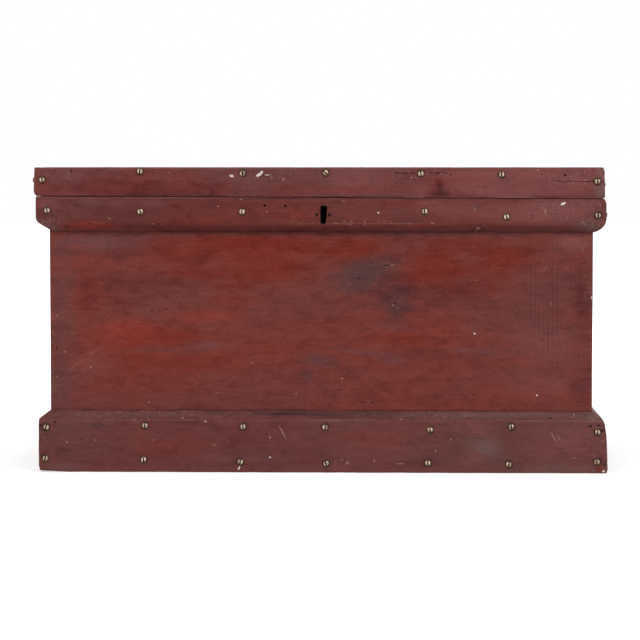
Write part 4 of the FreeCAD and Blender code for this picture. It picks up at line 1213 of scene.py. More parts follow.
@dataclass
class Rail:
    """A rail of the plinth, the band or the lid's rim, with the screws that hold it.

    It is made as a front rail about the origin, its face to -Y, and then turned to its side.
    """

    name: str
    node: str
    facing: Facing
    body: str
    slot: str
    paint: OldPaint
    length: float
    thickness: float
    height: float
    middle: Triple
    moulding: Moulding = Moulding.NONE
    nose: Nose | None = None
    end_noses: tuple[Nose, ...] = ()
    grow: tuple[float, float, float, float] = (0.0, 0.0, 0.0, 0.0)
    lip: float = 1.0
    arris: float = 1.3
    planing: float = 0.55
    knock: float = 0.9
    knock_width: float = 16.0
    knock_reach: float = 2.6
    cuts: int = 96
    cut_height: float = 9.0
    hole_depth: float = 7.0
    screws: tuple[ScrewSpot, ...] = ()
    end_screws: tuple[ScrewSpot, ...] = ()
    end_screw_y: float = 2.0
    gouges: tuple[tuple[Triple, Triple, float], ...] = ()
    holes: tuple[tuple[float, float, float], ...] = ()
    trims: tuple[tuple[Triple, Triple], ...] = ()
    cracks: tuple[tuple[Triple, Triple, float], ...] = ()
    keyhole: Keyhole | None = None

    def slope(self, rail: Piece, axis: Axis, sign: int, nose: Nose) -> None:
        """Slopes one edge of the rail and rounds the shoulder above or below the slope.

        Args:
            rail: The rail.
            axis: The axis that the sloped face looks along.
            sign: The way that it looks.
            nose: The profile of the edge.
        """
        up = self.moulding.value
        face = (self.length if axis is Axis.X else self.thickness) / 2
        turn = math.atan2(self.thickness - self.lip, nose.fall)
        middle = (face - nose.radius, nose.level - up * nose.radius * math.tan(turn / 2))
        for step in (1.0, 0.84, 0.68, 0.52, 0.36, 0.2):
            out, rise = math.cos(turn * step), math.sin(turn * step) * up
            point = [0.0, 0.0, middle[1] + nose.radius * rise]
            outward = [0.0, 0.0, rise]
            point[axis.value] = sign * (middle[0] + nose.radius * out)
            outward[axis.value] = sign * out
            slice_off(rail, point, outward)

    def shape(self) -> Piece:
        """Saws the rail, slopes its edge and softens its arrises.

        Returns:
            The rail about the origin, not yet worn.
        """
        end, face, height = self.length / 2, self.thickness / 2, self.height
        left, right, below, above = self.grow
        rail = saw_block(self.name, (-end - left, -face, -below), (end + right, face, height + above))
        for sign, nose in zip((-1, 1), self.end_noses):
            self.slope(rail, Axis.X, sign, nose)
        if self.nose is not None:
            self.slope(rail, Axis.Y, -1, self.nose)
        for point, outward in self.trims:
            slice_off(rail, point, outward)
        back = (face - 0.6) * MM
        ease_outline(rail, lambda first, second: max(first.y, second.y) > back, self.arris, 3)
        rule_lines(rail, Axis.Z, max(int(height / self.cut_height), 2), height * 0.4)
        rule_lines(rail, Axis.X, self.cuts, self.length * 0.5)
        return rail

    def to_place(self, piece: Piece) -> None:
        """Turns a piece that was made as a front piece to the rail's side."""
        piece.rotation_euler = (0.0, 0.0, math.radians(self.facing.value))
        piece.location = metres(self.middle)
        settle(piece)

    def build(self, screw: Piece, short: Piece | None = None) -> None:
        """Makes the rail and its screws and ties them to the frame.

        Args:
            screw: The screw that is copied to every place on the face.
            short: The screw that is copied to the places on the ends.
        """
        rail = self.shape()
        reach, face = self.knock_reach * MM, self.thickness / 4 * MM
        end, top = self.length / 2 * MM - reach, self.height * MM - reach
        chips = [gouge(*spec, seed) for seed, spec in enumerate(self.gouges, 3)]
        deep = [crack_cutter(*spec) for spec in self.cracks]
        for x, z, radius in self.holes:
            deep.append(round_cutter((x, -self.thickness / 2, z), radius, self.hole_depth))
        knock_edges(
            rail,
            lambda point: point.y < face and (point.z < reach or point.z > top or abs(point.x) > end),
            self.knock, self.knock_width,
        )
        chisel(rail, chips, PAINTED)
        chisel(rail, deep)
        self.to_place(rail)
        if self.keyhole is not None:
            chisel(rail, [self.keyhole.cutter(-204.0, -182.0)])
        hand_plane(rail, self.planing, 60.0)
        inward = Vector((0.0, 1.0, 0.0))
        inward.rotate(Euler((0.0, 0.0, math.radians(self.facing.value))))
        dress(rail, self.paint, RAIL_PINE, RAW_HOLE)
        paint_faces(rail, lambda face: face.normal.dot(inward) > SQUARE, BARE)
        hand_over(rail, self.body, self.node)
        self.drive(screw, short)

    def drive(self, screw: Piece, short: Piece | None) -> None:
        """Drives a copy of a screw at each place on the rail's face and ends.

        Args:
            screw: The screw for the face.
            short: The screw for the ends.
        """
        heads = []
        for kind, copied, spots in (("screw", screw, self.screws), ("end_screw", short, self.end_screws)):
            for number, spot in enumerate(spots, 1):
                head = copy_piece(copied, f"{self.node}_{kind}_{number}")
                quarter = math.copysign(math.pi / 2, spot.run) if kind == "end_screw" else 0.0
                out = self.end_screw_y if kind == "end_screw" else -self.thickness / 2
                head.rotation_euler = (0.0, math.radians(-spot.turn), quarter)
                head.location = metres((spot.run, out, spot.up))
                heads.append(settle(head))
        row = join(f"{self.name}_screws", heads)
        self.to_place(row)
        dress(row, BRASS_HEAD, BRASS_RIM_DIRT_AND_SHADE, BRASS_SLOT)
        hand_over(row, self.body, f"{self.node}_screws", 40.0)


@dataclass
class Wall:
    """A wall of the case, with dovetails cut at its ends."""

    name: str
    node: str
    facing: Facing
    joint: Joint
    paint: OldPaint
    inner: BarePine
    length: float
    middle: Triple
    thickness: float = 18.0
    height: float = 355.0
    tail_count: int = 6
    pin_tip: float = 8.0
    pin_root: float = 14.0
    arris: float = 0.9
    top_arris: float = 0.8
    planing: float = 0.3
    wave: float = 90.0
    cuts: int = 34
    long_cuts: int = 60
    inside: tuple[float, float] = (336.6, 166.6)
    skin: float = 183.0
    mortises: tuple[tuple[Triple, Triple], ...] = ()

    def tail_socket(self, near: float, far: float, side: int) -> Piece:
        """The waste between two tails at one end, about the foot of the wall.

        Args:
            near: Where it starts along X.
            far: Where it ends.
            side: The end's way along X.

        Returns:
            The cutter.
        """
        face, half = self.thickness / 2 + OVERCUT, self.pin_root / 2
        cutter = saw_block("socket", (near, -face, -half), (far, face, half))
        mark_faces(cutter, lambda part: part.normal.x * side > SQUARE)
        bpy.ops.transform.resize(value=(1, 1, self.pin_tip / self.pin_root))
        pull_out((OVERCUT * side, 0.0, 0.0))
        lay_down_tools()
        return cutter

    def pin_socket(self, near: float, far: float, side: int) -> Piece:
        """The waste between two pins at one end, about the foot of the wall.

        Args:
            near: Where it starts along X.
            far: Where it ends.
            side: The end's way along X.

        Returns:
            The cutter.
        """
        pitch, face = self.height / self.tail_count, self.thickness / 2
        half = (pitch - self.pin_root) / 2
        ends = (near - OVERCUT, far) if side < 0 else (near, far + OVERCUT)
        cutter = saw_block("socket", (ends[0], -face, -half), (ends[1], face, half))
        mark_faces(cutter, lambda part: part.normal.y < -SQUARE)
        bpy.ops.transform.resize(value=(1, 1, (pitch - self.pin_tip) / 2 / half))
        pull_out((0.0, -OVERCUT, 0.0))
        lay_down_tools()
        mark_faces(cutter, lambda part: part.normal.y > SQUARE)
        pull_out((0.0, OVERCUT, 0.0))
        lay_down_tools()
        return cutter

    def sockets(self) -> list[Piece]:
        """The waste between the pins or tails at both ends.

        Returns:
            The cutters, about the origin.
        """
        pitch, end = self.height / self.tail_count, self.length / 2
        cutters = []
        for side in (-1, 1):
            near, far = sorted(((end - self.thickness) * side, end * side))
            if self.joint is Joint.TAILS:
                cutter = self.tail_socket(near, far, side)
                levels = [pitch * number for number in range(self.tail_count + 1)]
            else:
                cutter = self.pin_socket(near, far, side)
                levels = [pitch * (number + 0.5) for number in range(self.tail_count)]
            for number, level in enumerate(levels):
                made = copy_piece(cutter, f"socket_{number}")
                made.location = (0, 0, level * MM)
                cutters.append(settle(made))
            bpy.data.objects.remove(cutter)
        return cutters

    def build(self, extra: Sequence[Piece] = ()) -> None:
        """Makes the wall and ties it to the frame.

        Args:
            extra: More cutters, in the trunk's place.
        """
        end, face = self.length / 2, self.thickness / 2
        wall = saw_block(self.name, (-end, -face, 0), (end, face, self.height))
        outer, top = (-face + 0.01) * MM, (self.height - 0.1) * MM
        ease_edges(
            wall, lambda first, second: along(first, second, Axis.Z, LONG) and first.y < outer, self.arris, 3
        )
        ease_edges(
            wall, lambda first, second: along(first, second, Axis.X, LONG) and min(first.z, second.z) > top,
            self.top_arris, 2,
        )
        rule_lines(wall, Axis.Z, self.cuts)
        rule_lines(wall, Axis.X, self.long_cuts if self.facing in (Facing.FRONT, Facing.BACK) else self.cuts)
        chisel(wall, self.sockets(), PAINTED)
        wall.rotation_euler = (0.0, 0.0, math.radians(self.facing.value))
        wall.location = metres(self.middle)
        settle(wall)
        boxes = [saw_block("mortise", low, high) for low, high in self.mortises]
        for cutter in (*boxes, *extra):
            chisel(wall, [cutter])
        hand_plane(wall, self.planing, self.wave)
        dress(wall, self.paint, self.inner, RAW_HOLE, FRONT_PAINT, BACK_PAINT)
        (x, y), skin = metres(self.inside), self.skin * MM
        paint_faces(wall, lambda face: abs(face.center.x) < x and abs(face.center.y) < y, BARE)
        paint_faces(wall, lambda face: face.normal.z > 0.5, BARE)
        paint_faces(wall, lambda face: face.center.y < -skin and face.normal.y < -0.5, FRONT_SKIN)
        paint_faces(wall, lambda face: face.center.y > skin and face.normal.y > 0.5, BACK_SKIN)
        hand_over(wall, "case", self.node)


@dataclass
class LidBoard:
    """One of the three boards of the lid, painted above and bare below."""

    name: str
    node: str
    front: float
    back: float
    mortises: tuple[tuple[Triple, Triple], ...] = ()
    left: float = -357.5
    right: float = 354.5
    base: float = 375.3
    top: float = 397.3
    arris: float = 0.9
    planing: float = 0.5
    wave: float = 75.0

    def build(self) -> None:
        """Makes the board and ties it to the frame."""
        board = saw_block(self.name, (self.left, self.front, self.base), (self.right, self.back, self.top))
        ease_edges(board, lambda first, second: along(first, second, Axis.X, LONG), self.arris, 2)
        rule_lines(board, Axis.Y, 12)
        rule_lines(board, Axis.X, 70)
        hand_plane(board, self.planing, self.wave)
        for low, high in self.mortises:
            chisel(board, [saw_block("mortise", low, high)])
        dress(board, LID_TOP_PAINT, LID_PINE, RAW_HOLE)
        paint_faces(board, lambda face: face.normal.z < -0.5, BARE)
        hand_over(board, "lid", self.node)


@dataclass
class BottomBoard:
    """A board of the bottom, tongued on its right and grooved on its left."""

    number: int
    pine: BarePine
    count: int = 5
    width: float = 141.6
    half_length: float = 354.0
    half_depth: float = 184.0
    base: float = 4.0
    top: float = 20.0
    tongue: float = 6.0
    tongue_low: float = 9.5
    tongue_high: float = 14.5
    play: float = 0.5
    arris: float = 0.8
    planing: float = 0.25

    def build(self) -> None:
        """Makes the board and ties it to the frame."""
        left, y = -self.half_length + self.width * (self.number - 1), self.half_depth
        name = f"pine_bottom_board_{self.number}"
        board = saw_block(name, (left, -y, self.base), (left + self.width, y, self.top))
        for level in (self.tongue_low, self.tongue_high):
            score(board, (0, 0, level), (0, 0, 1))
        middle = (self.tongue_low + self.tongue_high) / 2 * MM
        sides = ((1, self.number < self.count, self.tongue), (-1, self.number > 1, self.tongue + self.play))
        for side, joined, step in sides:
            if joined:
                mark_faces(
                    board,
                    lambda f, side=side: f.normal.x * side > SQUARE and abs(f.center.z - middle) < SAME,
                )
                pull_out((step, 0.0, 0.0))
                lay_down_tools()
        top, base = (self.top - 0.01) * MM, (self.base + 0.01) * MM
        ease_edges(
            board,
            lambda first, second: along(first, second, Axis.Y, LONG)
            and (min(first.z, second.z) > top or max(first.z, second.z) < base),
            self.arris, 2,
        )
        rule_lines(board, Axis.Y, 36)
        rule_lines(board, Axis.X, 8)
        dress(board, self.pine)
        hand_plane(board, self.planing, LONG)
        hand_over(board, "case", f"bottom_board_{self.number}")


# The trunk's own places and finishes

# The ends of the trunk, with the way that they look along X.
SIDES = ((Facing.LEFT, -1, "left"), (Facing.RIGHT, 1, "right"))
# The lengths of the front rails, of the side rails and of the rim's side rails, and the cuts along these.
BAND_LENGTH, SIDE_LENGTH, RIM_SIDE_LENGTH, SIDE_CUTS = 740.0, 368.0, 369.0, 60
# How far the seam under the lid falls to the right, as a share of its run.
SEAM_FALL = 0.0045
# The length of a mark that runs right past both ends of a rail.
ENDLESS = 4000.0
# Planes that take the outer corners off the side rails, as the front rails' ends are worn.
RIM_CORNERS = {
    -1: (((0, -5.4, 38.2), (0, -1, 1.0)), ((0, -6.0, 3.2), (0, -1, -0.9))),
    1: (((0, -3.6, 38.7), (0, -1, 0.9)), ((0, -5.4, 34.6), (0, -1, 0.3)), ((0, -5.6, -2.0), (0, -1, -1))),
}
BAND_CORNERS = {
    -1: (((0, -7.2, 46.6), (0, -1, 1.2)),),
    1: (((0, -5.8, 43.3), (0, -1, 1.1)), ((0, -7.3, 39.4), (0, -1, 0.35))),
}
RIM_SCREWS = screws_at(
    (-232.5, 33.8, -6), (-99.2, 30.8, -4), (8.6, 31.4, 48), (131.4, 30.8, 12), (235.8, 29.8, 4),
    (-359.8, 22.8, 14), (359.5, 20.6, 3),
)
BAND_SCREWS = screws_at(
    (-233.7, 27.1, 8), (-101.5, 27.1, -3), (135.0, 27.6, 7), (240.8, 20.6, 14), (-355.0, 28.9, 10),
    (358.9, 22.8, 2),
)
PLINTH_SCREWS = screws_at(
    (-228.8, 60.9, -3), (-100.8, 59.9, 4), (6.2, 59.7, -2), (142.7, 56.4, 3), (248.1, 61.0, 8),
    (-358.0, 59.0, -14), (360.1, 53.9, 3), (-230.8, 16.5, 5), (-104.6, 13.9, -6), (7.4, 12.2, 12),
    (139.9, 13.3, -4), (245.0, 11.7, -8), (-359.4, 18.1, -8), (359.4, 15.3, 6),
)
RIM_SIDE_SCREWS = screws_at(
    (33.2, 22.0, 5), (99.6, 29.9, -20), (195.6, 31.2, 35), (280.4, 29.5, 0), (343.2, 25.5, 70),
)
BAND_SIDE_SCREWS = screws_at((36.8, 23.0, 10), (136.2, 25.2, 0), (235.5, 27.0, -30), (331.2, 24.8, 15))
PLINTH_SIDE_SCREWS = screws_at(
    (47.8, 57.2, 5), (139.8, 59.6, 20), (235.5, 58.0, -8), (323.8, 58.8, 0), (58.9, 13.9, 0),
    (147.2, 12.8, 50), (224.5, 13.6, 5), (316.5, 13.3, -12),
)


def hinge_seats(base: float, top: float) -> tuple[tuple[Triple, Triple], ...]:
    """The seats of both hinges in the back edge, between two heights."""
    return tuple(((x - 35.0, 168.0, base), (x + 35.0, 190.0, top)) for x in (-226.0, 226.0))


def screw_dirt_and_shade_rings(
    spots: Sequence[ScrewSpot], middle: Triple, facing: Facing, reach: float = 5.6, depth: float = 30.0
) -> tuple[Spot, ...]:
    """Rings of dirt and painted shade round the screws of a rail.

    Args:
        spots: The screws' places on the rail.
        middle: Where the rail's middle stands in the trunk.
        facing: The side it stands on.
        reach: The ring's radius in millimetres.
        depth: How far it reaches into and out of the rail.

    Returns:
        One round spot for each screw.
    """
    angle = math.radians(facing.value)
    flat = (reach, depth, reach) if facing in (Facing.FRONT, Facing.BACK) else (depth, reach, reach)
    east, north = math.cos(angle), math.sin(angle)
    x, y, z = middle
    return tuple(Spot((x + spot.run * east, y + spot.run * north, z + spot.up), flat) for spot in spots)


def from_front(spots: Sequence[ScrewSpot], length: float, facing: Facing) -> tuple[ScrewSpot, ...]:
    """Turns places counted from a side rail's front end into places from its middle."""
    way = 1 if facing is Facing.LEFT else -1
    return tuple(ScrewSpot((length / 2 - spot.run) * way, spot.up, spot.turn) for spot in spots)


def side_dirt_and_shade_rings(
    spots: Sequence[ScrewSpot], length: float, x: float, middle_y: float, base: float
) -> tuple[Spot, ...]:
    """Rings of dirt and painted shade round the screws of both side rails.

    Args:
        spots: The screws' places from a rail's front end.
        length: The rails' length.
        x: How far their middles stand out.
        middle_y: Where their middles stand along Y.
        base: The height of their foot.

    Returns:
        The rings of both rails.
    """
    dirt_and_shade_rings = []
    for facing, sign, _ in SIDES:
        dirt_and_shade_rings += screw_dirt_and_shade_rings(from_front(spots, length, facing), (x * sign, middle_y, base), facing)
    return tuple(dirt_and_shade_rings)


def edge_lines(low: Triple, high: Triple, width: float) -> tuple[Spot, ...]:
    """The outer arrises of a rail that runs along X, as long thin spots.

    Args:
        low: The lower left end of its face.
        high: The upper right end.
        width: How far the wear reaches.

    Returns:
        The two long arrises and the two upright ones.
    """
    runs = tuple(Spot((0.0, low[1], z), (ENDLESS, width, width)) for z in (low[2], high[2]))
    return runs + tuple(Spot((x, low[1], 0.0), (width, width, ENDLESS)) for x in (low[0], high[0]))


def side_lines(x: float, low: float, high: float, width: float = 2.4) -> tuple[Spot, ...]:
    """The outer arrises of a rail that runs along Y."""
    return tuple(Spot((x, 0.0, z), (width, ENDLESS, width)) for z in (low, high))


FRONT_PAINT = OldPaint(
    "old_red_paint_case_front",
    ground=(130, 60, 53),
    dull=(122, 63, 58),
    bright=(137, 54, 42),
    bright_share=0.35,
    patches=patches_at(
        # along the top, left to right
        (-285, 300, 84, 15, Tone.MAUVE, 0.8), (-90, 297, 124, 20, Tone.EMBER, 0.9),
        (-66, 266, 70, 32, Tone.EMBER, 0.7), (-70, 280, 150, 40, Tone.BRIGHT, 0.35),
        (-190, 286, 76, 20, Tone.EMBER, 0.6), (-256, 286, 40, 22, Tone.MAROON, 0.5),
        (-266, 250, 36, 18, Tone.MAROON, 0.45), (200, 222, 60, 12, Tone.MAROON, 0.4),
        (-113, 241, 44, 12, Tone.EMBER, 0.6), (-178, 276, 40, 14, Tone.DARK_RED, 0.4),
        (-160, 260, 64, 12, Tone.EMBER, 0.6), (-113, 222, 50, 11, Tone.BRIGHT, 0.5),
        (-150, 203, 62, 10, Tone.ORANGE, 0.6), (100, 241, 30, 12, Tone.MAROON, 0.6),
        (294, 113, 64, 18, Tone.ROSE, 0.4), (190, 296, 64, 12, Tone.EMBER, 0.65),
        (200, 241, 90, 13, Tone.DARK_RED, 0.5), (205, 262, 60, 12, Tone.EMBER, 0.5),
        (45, 292, 66, 22, Tone.EMBER, 0.85), (146, 270, 58, 34, Tone.EMBER, 0.85),
        (240, 279, 50, 20, Tone.EMBER, 0.8), (328, 300, 34, 15, Tone.ROSE, 0.85),
        # the left side
        (-340, 205, 22, 140, Tone.DULL, 0.7), (-345, 112, 30, 40, Tone.DULL, 0.8),
        (-222, 246, 66, 12, Tone.MAROON, 0.5), (-250, 222, 50, 12, Tone.MAROON, 0.35),
        (-306, 230, 17, 34, Tone.DARK_RED, 0.6, 6), (-301, 140, 34, 24, Tone.ROSE, 0.5),
        (-250, 182, 54, 24, Tone.ORANGE, 0.85), (-190, 178, 60, 22, Tone.BRIGHT, 0.5),
        (-205, 145, 130, 44, Tone.BRIGHT, 0.5), (-205, 158, 60, 6, Tone.DULL, 0.5),
        (-150, 165, 44, 9, Tone.MAUVE, 0.6),
        # the middle
        (-2, 146, 34, 12, Tone.SMOKE, 0.8, 4), (-16, 125, 12, 11, Tone.SMOKE, 0.65),
        (55, 260, 58, 22, Tone.SMOKE, 0.95, -20), (46, 248, 32, 14, Tone.SMOKE, 0.6, -20),
        (96, 220, 32, 36, Tone.MAROON, 0.7), (96, 220, 27, 28, Tone.SMOKE, 0.62),
        (75, 186, 44, 10, Tone.MAUVE, 0.5), (98, 176, 60, 12, Tone.BRIGHT, 0.5, 11),
        (140, 156, 42, 14, Tone.MAROON, 0.4), (60, 156, 56, 5, Tone.MAUVE, 0.5, 8),
        (95, 145, 24, 5, Tone.MAUVE, 0.6),
        # the right side
        (155, 231, 74, 13, Tone.MAROON, 0.45), (205, 158, 50, 5, Tone.MAUVE, 0.5),
        (300, 222, 74, 60, Tone.DULL, 0.35), (290, 165, 60, 34, Tone.ROSE, 0.45),
        (341, 226, 20, 52, Tone.MAROON, 0.85), (344, 112, 20, 30, Tone.MAROON, 0.5),
        (262, 128, 50, 5, Tone.MAUVE, 0.3),
    ),
    # Painted shade under the band and along the plinth's top, and a leaning dark streak at x 88.
    grime_and_crease_shade=spots_in(
        (0, -186, 313, 700, 30, 7.0), (0, -186, 80.0, 700, 30, 1.4), (88, -190, 270, 7, 30, 2.4, -20),
    ),
    pits=marks_at(
        (-346, 162, 1.0, 3.4), (56, 90.6, 5, 0.9), (66, 90.2, 3.4, 0.8), (49, 253, 1.6, 1.6),
        (86, 270, 4.2, 1.2), (97, 220, 2.0, 0.9), (24, 107, 2.0, 1.5), (258, 157, 1.6, 0.8),
    ) + row_of_marks((-286, 203), (-186, 213), 9, (2.2, 0.6), 4)
    + row_of_marks((146, 101), (204, 101), 7, (3.0, 0.5), 9),
    specks=marks_at(
        (-335, 156, 1.7, 1.1), (-301, 136, 1.3, 1.3), (-224.8, 90.4, 1.3, 1.3), (-89.5, 142, 1.3, 1.3),
        (-32, 101.5, 1.4, 1.4), (-135.5, 102.5, 1.2, 1.0), (-345, 204, 1.2, 1.3), (-345.8, 123, 1.2, 1.4),
        (94, 218, 2.0, 0.9), (92, 270, 1.8, 0.7), (203, 250, 1.0, 1.0), (-256, 268, 0.9, 0.9),
        (28, 122, 1.6, 1.2), (300, 220, 0.9, 1.2),
    ),
    chips=marks_at((200.7, 181, 1.5, 1.5), (281.9, 100.4, 1.1, 1.1), (352.6, 228, 0.7, 2.4)),
    scratches=marks_at((-297, 156, 16, 0.9, -32), (-321, 139, 16, 0.9, -40), (-314, 128, 18, 0.7, -30)),
    ribs=spots_in((312, -190, 215, 74, 60, 96)),
    rib_depth=0.24,
    flaked=marks_at(
        (346, 296, 14, 18), (350, 240, 8, 40), (302, 267, 18, 5), (62, 89, 12, 4), (90, 270, 10, 4),
        (46, 253, 9, 5), (-352, 150, 4, 70), (100, 218, 12, 8),
    ),
    arrises=spots_in((354, -184, 200, 1.8, 3.0, 900), (-354, -184, 200, 1.4, 3.0, 900)),
    arris_wear_and_highlight=0.4,
)

SIDE_PAINT = OldPaint(
    "old_red_paint_case_ends", Axis.Y, (124, 60, 53), (115, 63, 58), (136, 56, 44), (3.1, 1.7, 0.4), 0.5,
    patches=patches_in(
        (354, -60, 230, 60, 80, 30, Tone.BRIGHT, 0.6), (354, 90, 170, 60, 70, 24, Tone.MAUVE, 0.6),
        (-354, 40, 240, 60, 90, 26, Tone.BRIGHT, 0.6), (-354, -80, 150, 60, 60, 30, Tone.SMOKE, 0.5),
        (354, 40, 110, 60, 90, 14, Tone.MAROON, 0.6), (-354, 110, 120, 60, 60, 18, Tone.MAROON, 0.6),
        (354, -140, 140, 60, 24, 40, Tone.DULL, 0.7), (-354, -20, 190, 60, 50, 16, Tone.ORANGE, 0.5),
        (354, 10, 200, 60, 26, 16, Tone.SMOKE, 0.7), (-354, 150, 250, 60, 24, 44, Tone.MAUVE, 0.6),
    ),
    # Painted shade under the band and along the plinth's top, at both ends.
    grime_and_crease_shade=spots_in((354, 0, 313, 30, 700, 3.0), (-354, 0, 313, 30, 700, 3.0), (0, 0, 84, 700, 700, 2.6)),
    arrises=spots_in(
        (354, -184, 200, 3.0, 2.2, 900), (-354, -184, 200, 3.0, 2.2, 900), (354, 184, 200, 3.0, 2.2, 900),
        (-354, 184, 200, 3.0, 2.2, 900),
    ),
    scratches=spots_in(
        (354, -60, 220, 30, 26, 0.8), (-354, 40, 150, 30, 20, 0.8), (354, 90, 140, 30, 0.8, 16),
        (-354, -90, 240, 30, 0.8, 22),
    ),
    specks=spots_in(
        (354, 30, 180, 20, 1.6, 1.4), (354, -120, 130, 20, 1.3, 1.5), (-354, 80, 260, 20, 1.5, 1.5),
        (-354, -30, 120, 20, 1.4, 1.2), (354, 60, 280, 20, 1.2, 1.2), (-354, -120, 200, 20, 1.4, 1.4),
    ),
    chips=spots_in((-354, 10, 200, 20, 2.2, 1.2), (354, 120, 250, 20, 1.8, 1.4)),
    pits=spots_in((354, 20, 264, 20, 3, 1.2), (-354, -60, 186, 20, 2.4, 1.4)),
)

BACK_PAINT = OldPaint(
    "old_red_paint_case_back", Axis.X, (116, 58, 51), (104, 60, 55), (128, 55, 44), (1.3, 5.2, 2.4), 0.35,
    patches=patches_in(
        (-180, 190, 230, 90, 60, 24, Tone.BRIGHT, 0.5), (120, 190, 160, 120, 60, 26, Tone.MAUVE, 0.6),
        (40, 190, 270, 110, 60, 16, Tone.MAROON, 0.6), (260, 190, 240, 60, 60, 30, Tone.RED, 0.5),
        (-270, 190, 130, 60, 60, 26, Tone.SMOKE, 0.5), (-60, 190, 130, 90, 60, 18, Tone.DULL, 0.7),
    ),
    # Painted shade under the band and along the plinth's top.
    grime_and_crease_shade=spots_in((0, 186, 313, 700, 30, 3.2), (0, 186, 84, 700, 30, 2.6)),
    specks=spots_in(
        (-200, 184, 180, 1.8, 20, 1.4), (90, 184, 240, 1.4, 20, 1.6), (-20, 184, 200, 1.2, 20, 1.2),
        (300, 184, 190, 1.4, 20, 1.4), (-300, 184, 250, 1.3, 20, 1.3),
    ),
    chips=spots_in((260, 184, 130, 1.8, 20, 1.2)),
    scratches=spots_in((40, 184, 200, 60, 30, 0.8, 14), (-180, 184, 140, 0.8, 30, 24, 8)),
    pits=spots_in((150, 184, 210, 3, 20, 1.3)),
)

RIM_FRONT_PAINT = OldPaint(
    "old_red_paint_lid_rim_front",
    ground=(126, 60, 56),
    dull=(119, 67, 64),
    bright=(128, 53, 46),
    cloud_offset=(0.7, 2.2, 1.1),
    bright_share=0.4,
    patches=patches_at(
        (-272, 371, 60, 14, Tone.DARK_RED, 0.55), (-196, 370, 80, 13, Tone.DARK_RED, 0.6),
        (-215, 360, 74, 7, Tone.MAROON, 0.9), (157, 374, 11, 15, Tone.DARK_RED, 1.0),
        (160, 364, 24, 9, Tone.DARK_RED, 1.0), (45, 380, 64, 26, Tone.ROSE, 0.5),
        (250, 390, 64, 10, Tone.ROSE, 0.8), (128, 370, 18, 12, Tone.ROSE, 0.5),
        (190, 388, 60, 9, Tone.ROSE, 0.6), (240, 366, 110, 12, Tone.ROSE, 0.6),
        (364, 378, 9, 60, Tone.WORN, 0.8), (-330, 388, 44, 9, Tone.MAUVE, 0.6),
        (320, 382, 84, 22, Tone.ROSE, 0.85), (215, 374, 60, 16, Tone.ROSE, 0.7),
        (110, 390, 16, 2.6, Tone.SOOT, 0.5), (156, 390, 16, 2.6, Tone.SOOT, 0.5),
        (-60, 384, 70, 10, Tone.MAUVE, 0.4), (40, 368, 60, 7, Tone.RED, 0.5),
    ) + patches_in(
        (0, -200, 397, 800, 30, 2.4, Tone.WORN, 0.4),
    ),
    # Painted shade along the seam at the rim's foot, and a dark smear at x 157.
    grime_and_crease_shade=spots_in((0, -200, 358.6, 700, 4, 2.2), (157, -200, 373, 7, 30, 9), (160, -200, 363, 18, 30, 5)),
    dirt_and_shade_rings=screw_dirt_and_shade_rings(RIM_SCREWS, (-1.5, -192.5, 358.6), Facing.FRONT),
    flaked=marks_at((340, 386, 50, 16), (-345, 386, 34, 12), (-60, 388, 40, 7), (130, 389, 50, 6)),
    dusting=0.85,
    pits=marks_at(
        (98.6, 389.9, 2.4, 1.0), (104, 389.6, 1.2, 0.9), (110, 389.6, 2.0, 0.9), (120.5, 389.9, 3, 1.0),
        (143.7, 390.5, 2.2, 1.0), (153, 390.2, 3.0, 0.8), (163, 389.4, 1.4, 0.8), (168.3, 387.6, 1.8, 1.0),
        (98, 376, 1.3, 1.0), (123, 379.4, 1.0, 0.9), (316, 387, 2.0, 1.8), (-323.4, 392.7, 1.8, 1.5),
        (-164, 365, 1.2, 1.0), (83, 369, 1.0, 1.2),
    ),
    specks=marks_at(
        (-47.9, 381.6, 1.5, 1.4), (-197, 390, 1.0, 1.0), (118, 384, 1.2, 1.0), (341.5, 381, 1.8, 0.9),
        (281, 394, 2.4, 1.2), (-212, 396.4, 2.0, 0.9),
    ),
    chips=marks_at(
        (-115.1, 386.2, 3.4, 1.7, 12), (-79.5, 387.8, 4.6, 2.0, -24), (-76, 391, 1.9, 2.0),
        (-69, 387.4, 3.4, 0.6),
    ),
    scratches=marks_at((-230, 380, 12, 0.6, 20), (200, 376, 9, 0.6, -14)),
    arrises=edge_lines((-371.5, -200, 358.6), (368.0, -200, 397.3), 2.0),
    arris_wear_and_highlight=0.5,
)

RIM_SIDE_PAINT = OldPaint(
    "old_red_paint_lid_rim_sides", Axis.Y, (120, 62, 57), (110, 64, 61), (130, 56, 48), (4.0, 0.6, 1.9), 0.4,
    dirt_and_shade_rings=side_dirt_and_shade_rings(RIM_SIDE_SCREWS, RIM_SIDE_LENGTH, 363.0, -0.5, 358.6),
    chips=spots_in(
        (-371, 60, 380, 20, 2.6, 1.6), (368, -40, 372, 20, 1.8, 1.4), (368, 120, 388, 20, 2.4, 1.2),
    ),
    arrises=(*side_lines(-371.5, 358.6, 397.3), *side_lines(368.5, 358.6, 397.3)),
)

